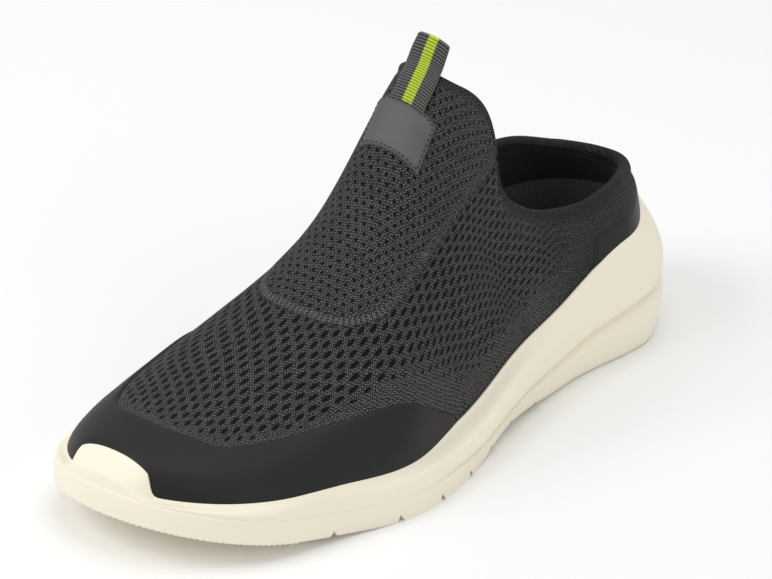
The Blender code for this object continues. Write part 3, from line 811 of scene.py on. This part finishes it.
# The knit stands proud where it is padded, sewn or rolled, and sinks a little beside it.
collar_pad = COLLAR_PAD * ease((from_collar - 0.003) / 0.004) * ease((0.42 - SHARE) / 0.15)
collar_pad = collar_pad * (1 - ease((from_collar - 0.010) / 0.008))
bead = BEAD_PROUD * (1 - ease((from_collar - 0.0008) / 0.0018))
bead = bead - BEAD_GROOVE * hump(from_collar, 0.0034, 0.0009)
seam_ridge = SEAM_PROUD * hump(seam_away, 0, 0.0011) - SEAM_GROOVE * hump(seam_away, -0.003, 0.0012)
knit_outer = knit + knit_out * (collar_pad + bead + seam_ridge)[..., None]
padding = ease((knit_at - AT_RIM) / (knit_end - AT_RIM)) * ease((0.50 - SHARE) / 0.15)
wall = WALL + (COLLAR_WALL - WALL) * padding
up = unit(knit[-1] - knit[-2])
roll = []
middle = knit[-1] - knit_out[-1] * wall[-1][:, None] / 2
for angle in np.linspace(0, math.pi, ROLL_STEPS + 2)[1:-1]:
    radius = wall[-1][:, None] / 2 + ROLL_OVER
    roll.append(middle + (knit_out[-1] * math.cos(angle) + up * math.sin(angle) * 0.9) * radius)
inner_at = list(range(KNIT_ROWS, -1, -3))
inner = [knit[i] - knit_out[i] * wall[i][:, None] for i in inner_at]
upper = ring_mesh("knit_upper", list(knit_outer) + roll + inner, loop=True)

# What the knit's material reads at each vertex.
extra_rows = [KNIT_ROWS] * ROLL_STEPS + inner_at
read_rows = list(range(KNIT_ROWS + 1)) + extra_rows
roll_past = np.zeros((len(read_rows), 2 * HALF_ROUND))
for i in range(ROLL_STEPS):
    roll_past[KNIT_ROWS + 1 + i] = -(i + 1) * ROLL_STEP
roll_past[KNIT_ROWS + 1 + ROLL_STEPS:] = -INNER_PAST
share_here = knit_place[..., 0]

# The slots follow a guide on each side: the sock's side seam, carried on over the vamp at
# the same distance from the ridge. Between the guides they follow the ridge.
guide_shares = np.linspace(0.03, 0.985, 180)
slot_pitch = SLOT_ALONG + (QUARTER_ALONG - SLOT_ALONG) * ease((0.66 - guide_shares) / 0.12)
slot_row = VAMP_ROW + (QUARTER_ROW - VAMP_ROW) * ease((0.68 - share_here) / 0.16)
pitch_run = np.interp(guide_shares, GIRTH_SHARES, ridge_run)


def slots_along(line_run):
    """Slots passed along a line, at each of the guide's stations."""
    pitch = (slot_pitch[1:] + slot_pitch[:-1]) / 2
    return np.concatenate(([0], np.cumsum(np.diff(line_run) / pitch)))


slots_past = slots_along(pitch_run)
slot_u = np.interp(share_here, guide_shares, slots_past)
turn_girth = float(over_last(np.array([GUIDE_TURN]), np.array([GUIDE_SPREAD]))[1][0])
rows_inside = round(turn_girth / VAMP_ROW)
slot_v = girth / turn_girth * rows_inside
for hand in (1.0, -1.0):
    ahead_spread = []
    for share in guide_shares:
        girths = read_table(GIRTHS[hand], np.full(len(GIRTH_SPREADS), share), GIRTH_SPREADS)
        ahead_spread.append(np.interp(turn_girth, girths, GIRTH_SPREADS))
    guide_spread = np.where(guide_shares < GUIDE_TURN, GUIDE_SPREAD, ahead_spread)
    for _ in range(GUIDE_EASING):
        guide_spread[1:-1] = (guide_spread[:-2] + 2 * guide_spread[1:-1] + guide_spread[2:]) / 4
    guide_away, guide_along = from_line(knit, np.column_stack((guide_shares, hand * guide_spread)))
    guide_line = last_point(guide_shares, hand * guide_spread)
    guide_run = run_length(guide_line)
    guide_past = slots_along(guide_run)
    beyond = (guide_away * hand > 0) & (girth * hand > 0)
    guide_start = np.interp(GUIDE_MEET, guide_shares, slots_past - guide_past)
    guide_u = np.interp(guide_along, guide_run, guide_past) + guide_start
    toward = ease(np.abs(girth) / turn_girth) * (girth * hand > 0)
    slot_u = np.where(beyond, guide_u, slot_u * (1 - toward) + guide_u * toward)
    slot_v = np.where(beyond, hand * (rows_inside + np.abs(guide_away) / slot_row), slot_v)
low_start = 0.0015 + 0.007 * ease((0.80 - share_here) / 0.14)
low_full = 0.0065 + 0.017 * ease((0.82 - share_here) / 0.20)
slot_size = ease((from_film - low_start) / (low_full - low_start))
slot_size = slot_size * ease((share_here - 0.235) / 0.09)
slot_thin = ease((0.66 - share_here) / 0.16)
near_collar = 1 - ease((from_collar - 0.002) / 0.014)
front_seam = ease((share_here - 0.585) / 0.05)
heel_part = ease((0.34 - share_here) / 0.12)


def note(piece, name, values):
    """A vector kept at each vertex of a piece, which its material reads."""
    kept = piece.data.attributes.new(name, "FLOAT_VECTOR", "POINT")
    kept.data.foreach_set("vector", np.asarray(values, np.float32).ravel())


note(upper, "slots", np.stack([slot_u, slot_v, slot_size], -1)[read_rows])
pin_u, pin_v = girth / PIN_ALONG_ROW, run / PIN_BETWEEN_ROWS
note(upper, "pins", np.stack([pin_u, pin_v, slot_thin], -1)[read_rows])
note(upper, "seam", np.stack([seam_away, seam_along, near_collar], -1)[read_rows])
edge_values = [from_film[read_rows], from_collar[read_rows] + roll_past, front_seam[read_rows]]
note(upper, "edges", np.stack(edge_values, -1))
loop_values = [girth[read_rows] + roll_past, run[read_rows], heel_part[read_rows]]
note(upper, "loops", np.stack(loop_values, -1))


def noted(place, name):
    """The three numbers that a piece keeps under this name."""
    return place.node("ShaderNodeAttribute", {"attribute_name": name}, {}, "Vector").parts()


knit_finish, place, shader = finish_of("charcoal_knit_finish", 0.92, sheen=0.04, specular=0.15)
slot_u, slot_v, slot_size = noted(place, "slots")
pin_u, pin_v, slot_thin = noted(place, "pins")
seam_away, seam_along, near_collar = noted(place, "seam")
from_film, from_collar, front_seam = noted(place, "edges")
loop_q, loop_p, heel_part = noted(place, "loops")
fuzz = noise(place, 900.0, 2.0)
drift = noise(place, 260.0, 1.0) - 0.5


def hole(u, v, wide, tall):
    """1 in the middle of each cell of a brick pattern and 0 round it."""
    row = v.math("FLOOR", v)
    across = u + row.math("FLOORED_MODULO", row, 2.0) * 0.5
    across = (across - across.math("FLOOR", across) - 0.5) / wide
    along = (v - row - 0.5) / tall
    away = (across * across + along * along)
    return 1 - away.math("SQRT", away).between(0.78, 1.10)


in_sock = seam_away.between(0.0012, 0.0022)
out_sock = 1 - seam_away.between(-0.0030, -0.0020)
slot_wide = (0.35 + 0.04 * slot_thin) * (0.30 + 0.70 * slot_size)
slot_tall = (0.275 - 0.015 * slot_thin) * (0.45 + 0.55 * slot_size)
slots = hole(slot_u + drift * 0.10, slot_v + drift * 0.12, slot_wide, slot_tall)
slots = slots * slot_size.between(0.02, 0.25) * out_sock * (1 - 0.45 * near_collar)
pins = hole(pin_u + drift * 0.10, pin_v + drift * 0.10, 0.20, 0.22)
pins = pins * in_sock * from_collar.between(0.0030, 0.0042)
open_holes = slots.math("MAXIMUM", slots, pins) * from_collar.between(0.0022, 0.0036)


def loops_of(across, along):
    """Light tops of yarn loops, in a herringbone of wales across and courses along."""
    sway = (along * (math.tau / 1.9)).sine()
    wale = (across + 0.5 * sway + drift * 0.9).wave(1.0)
    course = (along + 0.35 * across + drift * 0.9).wave(1.15)
    return wale * (0.45 + 0.55 * course)


sock_yarn = loops_of(loop_q / 0.00125, loop_p / 0.0010)
slot_yarn = loops_of(slot_v * 3.0, slot_u * 5.6)
plain = in_sock.math("MAXIMUM", in_sock, heel_part)
yarn = sock_yarn * plain + slot_yarn * (1 - plain)

# Arched ribs that follow the film's edge, low down where no slots open.
rib_phase = from_film * (math.tau / 0.0012) + drift * 2.0
ribs = (0.5 + 0.5 * rib_phase.sine()) * (1 - slot_size.between(0.0, 0.35)) * out_sock

# The seam: a ridge of short ticks across it, with a row of dashes on the side away from the sock
# panel.
ticks = seam_along.wave(SEAM_TICK).between(0.35, 0.75)
seam_band = 1 - (seam_away + 0.0002).absolute().between(0.0009, 0.0016)
seam_ticks = ticks * seam_band * (0.25 + 0.75 * front_seam)
dashes = seam_along.wave(SEAM_DASH).between(0.35, 0.65)
dash_rows = dashes * (1 - (seam_away + 0.0024).absolute().between(0.0003, 0.0007))
edge_phase = loop_p * (math.tau / 0.0013) + loop_q * (math.tau / 0.0040)
edge_ribs = (0.5 + 0.5 * edge_phase.sine()) * (1 - from_collar.between(0.0022, 0.0034))

dark = open_holes.math("MAXIMUM", open_holes, dash_rows * 0.6)
# Partly painted highlight: the knit is lighter on the tops of its yarn loops and ribs, mixed with
# light flecks of yarn.
flecks_and_loop_highlights = (yarn * (0.15 + 1.7 * fuzz)).between(0.22, 0.78)
flecks_and_loop_highlights = flecks_and_loop_highlights * (0.35 + 0.65 * from_collar.between(0.0, 0.005))
# Partly painted shade: the light flecks are halved toward the heel, where the knit is also plainer.
lift = (0.72 * flecks_and_loop_highlights + 0.08 * ribs * (0.3 + fuzz)) * (1 - 0.5 * heel_part)
lift = lift + 0.32 * seam_ticks + 0.02 * edge_ribs
charcoal = lift.colour(YARN_DEEP, YARN_LIGHT)
# The slots and pinholes are painted, not cut: near black, for the black lining seen through them
# and painted shade inside them.
charcoal = (dark * 0.97).colour(charcoal, HOLE_DARK)
wire(charcoal, shader, "Base Color")
relief = yarn * 0.35 + ribs * 0.20 + seam_ticks * 0.8 + edge_ribs * 0.05 + fuzz * 0.30 - dark * 1.6
bump(shader, relief, 0.7, 0.0005)
upper.data.materials.append(knit_finish)
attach(upper, "root")
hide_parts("upper")

# The lining
# A smooth black knit sewn inside the upper, from under the rolled edge down to the insole.
# Its lowest part is coloured like a dark grey weave, as the bottom of the opening shows.
LINING_TOP = 0.0028
LINING_ROWS = 40
LINING_FACE = 0.00045
LINING_BACK = 0.0004
WEAVE_TOP = 0.0385
lining_steps = np.linspace(0, 1, LINING_ROWS + 1)[:, None]
lining_at = AT_INSOLE * 0.9 + (knit_end - LINING_TOP - AT_INSOLE * 0.9) * lining_steps
lining_points, _ = rows_of_knit(lining_at)
lining_out = ring_normals(lining_points)
lining_pad = ease((lining_at - AT_RIM) / (knit_end - AT_RIM)) * ease((0.50 - SHARE) / 0.15)
lining_wall = (WALL + (COLLAR_WALL - WALL) * lining_pad)[..., None]
facing = lining_points - lining_out * (lining_wall + LINING_FACE)
behind = lining_points - lining_out * (lining_wall - LINING_BACK)
lining = ring_mesh("lining", list(facing) + list(behind[::-1]), loop=True)
lining_finish, place, shader = finish_of("black_lining_finish", 0.8, sheen=0.1, specular=0.2)
fuzz = noise(place, 1200.0, 2.0)
x, _, z = place.parts()
stripe = (z * (math.tau / 0.0012)).sine()
low = 1 - (z + (x + 0.08) * 0.05).between(WEAVE_TOP, WEAVE_TOP + 0.0015)
dots = (x * (math.tau / 0.0016)).sine() * stripe
black = (fuzz * (0.8 + 0.2 * stripe)).colour((0.003, 0.003, 0.0035, 1), (0.016, 0.0155, 0.016, 1))
weave = (fuzz * (0.7 + 0.6 * dots)).colour((0.016, 0.016, 0.016, 1), (0.150, 0.146, 0.142, 1))
wire(low.colour(black, weave), shader, "Base Color")
bump(shader, fuzz + 0.4 * stripe, 0.4, 0.0003)
lining.data.materials.append(lining_finish)
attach(lining, "root")

# The films
# Smooth black film, pressed hot onto the knit: one over the toe and forefoot sides, one
# round the heel. Both come up out of the sole's cup and thin out to nothing at their edges.
FILM_THICKNESS = 0.0009
FILM_ROWS = 64
FILM_EDGE = 0.0035
FILM_SUNK = 0.0004
FILM_STATION = 0.0022


def sheet_mesh(name, surface, normal, low, high):
    """A closed sheet between two distances from an open grid of points."""
    rows, columns = surface.shape[:2]
    points = np.concatenate((surface + normal * low, surface + normal * high)).reshape(-1, 3)
    faces = []
    for side in (0, rows * columns):
        for row in range(rows - 1):
            a, b = side + row * columns, side + (row + 1) * columns
            faces += [(a + i, a + i + 1, b + i + 1, b + i) for i in range(columns - 1)]
    border = list(range(columns))
    border += [row * columns + columns - 1 for row in range(1, rows)]
    border += [(rows - 1) * columns + i for i in range(columns - 2, -1, -1)]
    border += [row * columns for row in range(rows - 2, 0, -1)]
    for i, first in enumerate(border):
        second = border[(i + 1) % len(border)]
        faces.append((first, second, second + rows * columns, first + rows * columns))
    return new_piece(name, points, faces)


def round_off(distance, reach):
    """0 at an edge and 1 this far from it, as a quarter circle."""
    return np.sqrt(1 - (1 - np.clip(distance / reach, 0, 1)) ** 2)


def sheet_normals(grid):
    """Normals of an open grid of rows."""
    return unit(np.cross(np.gradient(grid, axis=0), np.gradient(grid, axis=1)))


film_finish, place, shader = finish_of("black_film_finish", 0.5, specular=0.26)
grain = noise(place, 1500.0, 2.0)
cloud = noise(place, 30.0, 2.0)
wire(cloud.colour((0.012, 0.0115, 0.011, 1), (0.016, 0.015, 0.0145, 1)), shader, "Base Color")
wire(0.47 + 0.10 * cloud, shader, "Roughness")
bump(shader, grain, 0.15, 0.0002)
for name, node, table, first, last in (
    ("toe_film", "toe_overlay", TOE_OVERLAY, 96, 252),
    ("heel_film", "heel_overlay", HEEL_OVERLAY, -60, 56),
):
    film_columns, depth, tucked = [], [], []
    for station in range(first, last + 1):
        k = station % (2 * HALF_ROUND)
        rise = OVERLAY_RISE * float(smooth(table, 1 if HAND[k] > 0 else 2, SHARE[k]))
        film_top = AT_SIDE_RIM[k] + rise
        at = np.linspace(max(AT_SIDE_RIM[k] - 0.003, 0.0), film_top, FILM_ROWS)
        film_columns.append(pick(LINES[k][0], at, TOTAL[k]))
        depth.append(film_top - at)
        tucked.append(at - AT_RIM[k])
    grid = np.array(film_columns).transpose(1, 0, 2)
    depth = np.array(depth).T
    shown = ease((np.array(tucked).T + 0.0012) / 0.0010)
    from_start = np.arange(grid.shape[1])
    ends = np.minimum(from_start, from_start[::-1])[None, :] * FILM_STATION
    thin = round_off(depth, FILM_EDGE) * round_off(ends, FILM_EDGE)
    face = -FILM_SUNK / 2 + (0.00025 + FILM_THICKNESS * thin) * shown
    film = sheet_mesh(name, grid, sheet_normals(grid), -FILM_SUNK, face[..., None])
    film.data.materials.append(film_finish)
    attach(film, "root")
    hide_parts(node)

# The label
# A bare grey patch of coated cloth, sewn to the tongue along all four edges.
LABEL_WIDTH = 0.0285
LABEL_HEIGHT = 0.0195
LABEL_SHIFT = 0.005
LABEL_THICKNESS = 0.0011
LABEL_DROP = 0.015
STITCH_INSET = 0.0011
STITCH_SINK = 0.00022
STITCH_STEP = 0.0021
STITCH_LENGTH = 0.00135
STITCH_RADIUS = 0.00033


def tongue_point(down, across):
    """Point and normal of the upper, down from the tongue's top and out to one side."""
    top = COLLAR[-1][1]
    shares = np.linspace(top - 0.05, top + 0.3, 141)
    lengths = run_length(last_point(shares, 0.0))
    share = np.interp(down, lengths - np.interp(top, shares, lengths), shares)
    hand = 1 if across >= 0 else -1
    spreads = np.linspace(0, 0.8, 81) * hand
    lengths = run_length(last_point(np.full(81, share), spreads))
    spread = np.interp(abs(across), lengths, np.abs(spreads)) * hand
    step = 0.004
    along = last_point(share + step, spread) - last_point(share - step, spread)
    beside = last_point(share, spread + step) - last_point(share, spread - step)
    return last_point(share, spread), unit(np.cross(along, beside))


def tongue_grid(downs, acrosses):
    """Points and normals of the tongue for each pair of distances."""
    found = np.array([[tongue_point(down, across) for across in acrosses] for down in downs])
    return found[:, :, 0], found[:, :, 1]


parts_down = np.linspace(0, 1, 28)
parts_across = np.linspace(-0.5, 0.5, 40)
label_downs = LABEL_DROP + LABEL_HEIGHT * parts_down
surface, normal = tongue_grid(label_downs, LABEL_SHIFT + LABEL_WIDTH * parts_across)
to_edge = np.minimum(
    (LABEL_HEIGHT * np.minimum(parts_down, 1 - parts_down))[:, None],
    (LABEL_WIDTH * (0.5 - np.abs(parts_across)))[None, :],
)
sewn = STITCH_SINK * hump(to_edge, STITCH_INSET, 0.0005)
label_face = 0.0002 + (LABEL_THICKNESS - 0.0003) * round_off(to_edge, 0.0005) - sewn
label = sheet_mesh("label", surface, normal, 0.0, label_face[..., None])
label_finish, place, shader = finish_of("grey_patch_finish", 0.55, sheen=0.05)
grain = noise(place, 1600.0, 3.0)
cloud = noise(place, 90.0, 3.0)
mottle = 0.5 * grain + 0.5 * cloud
wire(mottle.colour((0.062, 0.060, 0.058, 1), (0.098, 0.095, 0.092, 1)), shader, "Base Color")
bump(shader, grain, 0.25, 0.0002)
label.data.materials.append(label_finish)
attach(label, "root")
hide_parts("label_patch")


def capsule(first, second, normal, radius, points, faces):
    """A short stitch lying between two points, added to points and faces."""
    along = second - first
    forward = unit(along)
    beside = np.cross(forward, normal)
    base = len(points)
    rings = ((0.0, 0.35), (0.15, 0.85), (0.5, 1.0), (0.85, 0.85), (1.0, 0.35))
    for part, size in rings:
        for angle in np.arange(6) / 6 * math.tau:
            offset = beside * math.cos(angle) + normal * math.sin(angle)
            points.append(first + along * part + offset * radius * size)
    for i in range(len(rings) - 1):
        for j in range(6):
            a, b = base + i * 6 + j, base + i * 6 + (j + 1) % 6
            faces.append((a, b, b + 6, a + 6))
    faces.append(tuple(base + j for j in range(5, -1, -1)))
    faces.append(tuple(base + (len(rings) - 1) * 6 + j for j in range(6)))


stitch_points, stitch_faces = [], []
high, wide = LABEL_HEIGHT - 2 * STITCH_INSET, LABEL_WIDTH - 2 * STITCH_INSET
corners = ((0.0, -0.5), (0.0, 0.5), (1.0, 0.5), (1.0, -0.5))
for i, (down, across) in enumerate(corners):
    next_down, next_across = corners[(i + 1) % 4]
    side_length = wide if down == next_down else high
    count = round(side_length / STITCH_STEP)
    for j in range(count):
        ends = []
        for end in (-0.5, 0.5):
            part = (j + 0.5) / count + end * STITCH_LENGTH / side_length
            place_down = LABEL_DROP + STITCH_INSET + high * (down + (next_down - down) * part)
            place_across = LABEL_SHIFT + wide * (across + (next_across - across) * part)
            point, out = tongue_point(place_down, place_across)
            ends.append(point + out * (LABEL_THICKNESS - 0.0003))
        capsule(ends[0], ends[1], out, STITCH_RADIUS, stitch_points, stitch_faces)
stitches = new_piece("label_stitches", stitch_points, stitch_faces)
thread, place, shader = finish_of("dark_thread", 0.8, sheen=0.2)
fuzz = noise(place, 2500.0, 2.0)
wire(fuzz.colour((0.004, 0.004, 0.004, 1), (0.014, 0.0135, 0.013, 1)), shader, "Base Color")
stitches.data.materials.append(thread)
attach(stitches, "root")

# The pull loop
# Ribbed webbing with a lime stripe, sewn under the label, folded flat over the tongue's
# top and sewn down again inside.
WEBBING_WIDTH = 0.0145
WEBBING_THICKNESS = 0.0012
LOOP_REACH = 0.0105
LOOP_ANGLE = math.radians(62)
LOOP_EDGE = 0.003
LOOP_FOLD = 0.0014
LOOP_TUCK = 0.018
WEBBING_RIB = 0.00118
STRIPE_HALF = 0.145
STRIPE_BLUR = 0.012
WEBBING_THREADS = 15
WEBBING_EASING = 10

parts = np.linspace(-0.5, 0.5, 33)
acrosses = LABEL_SHIFT + WEBBING_WIDTH * parts
outer_lift = 2 * GAP + WEBBING_THICKNESS / 2
inner_lift = WALL + 2 * GAP + WEBBING_THICKNESS / 2
front, front_out = tongue_grid(np.linspace(LABEL_DROP + 0.001, -LOOP_EDGE, 30), acrosses)
back, back_out = tongue_grid(np.linspace(-LOOP_EDGE, LOOP_TUCK, 30), acrosses)
loop_up = np.array((-math.cos(LOOP_ANGLE), 0, math.sin(LOOP_ANGLE)))
loop_rows = []
for part in np.linspace(0, 1, 16)[1:]:
    closing = ease((part - 0.4) / 0.6)
    lift = (outer_lift + inner_lift) / 2 * (1 - closing) + LOOP_FOLD * closing
    loop_rows.append(((LOOP_REACH - LOOP_FOLD) * part, lift))
path = list(loop_rows)
for angle in np.linspace(0, math.pi, 15)[1:-1]:
    path.append((LOOP_REACH - LOOP_FOLD + LOOP_FOLD * math.sin(angle), LOOP_FOLD * math.cos(angle)))
path += [(u, -w) for u, w in reversed(loop_rows)]
middle = [front[-1] + loop_up * u + front_out[-1] * (w - WALL / 2) for u, w in path]
rough = np.array(list(front + front_out * outer_lift) + middle + list(back - back_out * inner_lift))
for _ in range(WEBBING_EASING):
    rough[20:44] = (rough[19:43] + 2 * rough[20:44] + rough[21:45]) / 4
    rough[-44:-20] = (rough[-45:-21] + 2 * rough[-44:-20] + rough[-43:-19]) / 4
rough_run = run_length(rough[:, 16])
rib_count = int(rough_run[-1] / WEBBING_RIB)
fine_run = np.linspace(0, rough_run[-1], rib_count * 6 + 1)
webbing_grid = np.stack([pick(rough[:, i], fine_run, rough_run) for i in range(len(parts))], axis=1)
webbing_out = sheet_normals(webbing_grid)
selvedge = ease((np.abs(parts) - 0.44) / 0.05)
ribbing = np.cos(fine_run / WEBBING_RIB * math.tau)[:, None] * (1 - selvedge)[None, :]
crown = 0.5 * WEBBING_THICKNESS * (1 - 0.5 * ease((np.abs(parts) - 0.44) / 0.06))[None, :]
stripe_lift = 0.00008 * (np.abs(parts) < STRIPE_HALF)[None, :]
half = (crown + 0.00011 * ribbing + stripe_lift)[..., None]
loop = sheet_mesh("pull_loop_webbing", webbing_grid, webbing_out, -half, half)
across_note = np.broadcast_to(parts, ribbing.shape)
loop_note = np.stack([across_note, ribbing, np.broadcast_to(fine_run[:, None], ribbing.shape)], -1)
note(loop, "webbing", np.concatenate((loop_note, loop_note)))
webbing, place, shader = finish_of("webbing_finish", 0.85, sheen=0.15)
across, ribbing, _ = noted(place, "webbing")
fuzz = noise(place, 1500.0, 2.0)
threads = across.wave(1 / WEBBING_THREADS)
# Painted shade: the webbing is darker in the grooves between its ribs and lighter on their crests,
# mixed with its threads and fuzz.
rib_shade_and_threads = (0.5 + 0.5 * ribbing).between(0.15, 0.85) * (0.6 + 0.4 * threads) * (0.6 + 0.8 * fuzz)
stripe_away = (across + (fuzz - 0.5) * 0.02).absolute()
in_stripe = 1 - stripe_away.between(STRIPE_HALF - STRIPE_BLUR, STRIPE_HALF + STRIPE_BLUR)
grey = rib_shade_and_threads.colour((0.010, 0.010, 0.010, 1), (0.135, 0.131, 0.128, 1))
lime = rib_shade_and_threads.colour((0.19, 0.27, 0.010, 1), (0.56, 0.72, 0.022, 1))
wire(in_stripe.colour(grey, lime), shader, "Base Color")
bump(shader, threads * 0.6 + fuzz * 0.5, 0.5, 0.0002)
loop.data.materials.append(webbing)
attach(loop, "root")
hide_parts("pull_loop")

# The floor, the light and the camera
# A pale seamless floor under a large soft key from the toe side, a fill and a top light.
FLOOR_HALF = 6
ground = bpy.data.meshes.new("floor")
corners = [(x * FLOOR_HALF, y * FLOOR_HALF, 0) for x, y in ((-1, -1), (1, -1), (1, 1), (-1, 1))]
ground.from_pydata(corners, [], [(0, 1, 2, 3)])
floor = bpy.data.objects.new("floor", ground)
bpy.context.scene.collection.objects.link(floor)
paper, place, shader = finish_of("paper_floor", 0.9, specular=0.1)
cloud = noise(place, 2.0, 2.0)
wire(cloud.colour((0.94, 0.94, 0.94, 1), (0.96, 0.96, 0.96, 1)), shader, "Base Color")
ground.materials.append(paper)

world = bpy.data.worlds.new("studio")
world.use_nodes = True
world.node_tree.nodes["Background"].inputs["Color"].default_value = (1.0, 1.0, 1.0, 1)
world.node_tree.nodes["Background"].inputs["Strength"].default_value = 0.55
bpy.context.scene.world = world


def soft_light(name, place, size, power):
    """A square soft box that looks at the shoe."""
    light = bpy.data.lights.new(name, "AREA")
    light.size = size
    light.energy = power
    made = bpy.data.objects.new(name, light)
    made.location = place
    made.rotation_euler = (Vector((0, 0, 0.04)) - Vector(place)).to_track_quat("-Z", "Y").to_euler()
    bpy.context.scene.collection.objects.link(made)


soft_light("key", (1.3, -0.9, 1.5), 1.2, 17)
soft_light("fill", (0.2, 1.8, 0.9), 1.2, 5)
soft_light("top", (-0.2, 0.0, 1.8), 1.4, 9)

AZIMUTH, ELEVATION, ROLL = (math.radians(v) for v in (131.30, 25.66, 0.83))
PHOTO_DISTANCE = 1.5038
PHOTO_TARGET = (0.0205, -0.0817, 0.045)
SHOE_MIDDLE = (0.006, 0.003, 0.0515)
flat = math.cos(ELEVATION)
back = Vector((math.sin(AZIMUTH) * flat, -math.cos(AZIMUTH) * flat, math.sin(ELEVATION)))
right = (-back).cross(Vector((0, 0, 1))).normalized()
up = right.cross(-back)
cosine, sine = math.cos(ROLL), math.sin(ROLL)
right, up = right * cosine + up * sine, up * cosine - right * sine
photo_place = Vector(PHOTO_TARGET) + back * PHOTO_DISTANCE
turn = Matrix((right, up, back)).transposed().to_quaternion()
aim = (Vector(SHOE_MIDDLE) - photo_place).normalized()
camera_data = bpy.data.cameras.new("camera")
camera_data.lens = 190.0
camera_data.sensor_width = 36.0
camera_data.clip_start = 0.05
camera_data.clip_end = 50.0
camera = bpy.data.objects.new("camera", camera_data)
camera.location = photo_place
camera.rotation_mode = "QUATERNION"
camera.rotation_quaternion = (-back).rotation_difference(aim) @ turn
bpy.context.scene.collection.objects.link(camera)
bpy.context.scene.camera = camera
bpy.context.scene.view_settings.view_transform = "Standard"

bpy.context.view_layer.update()
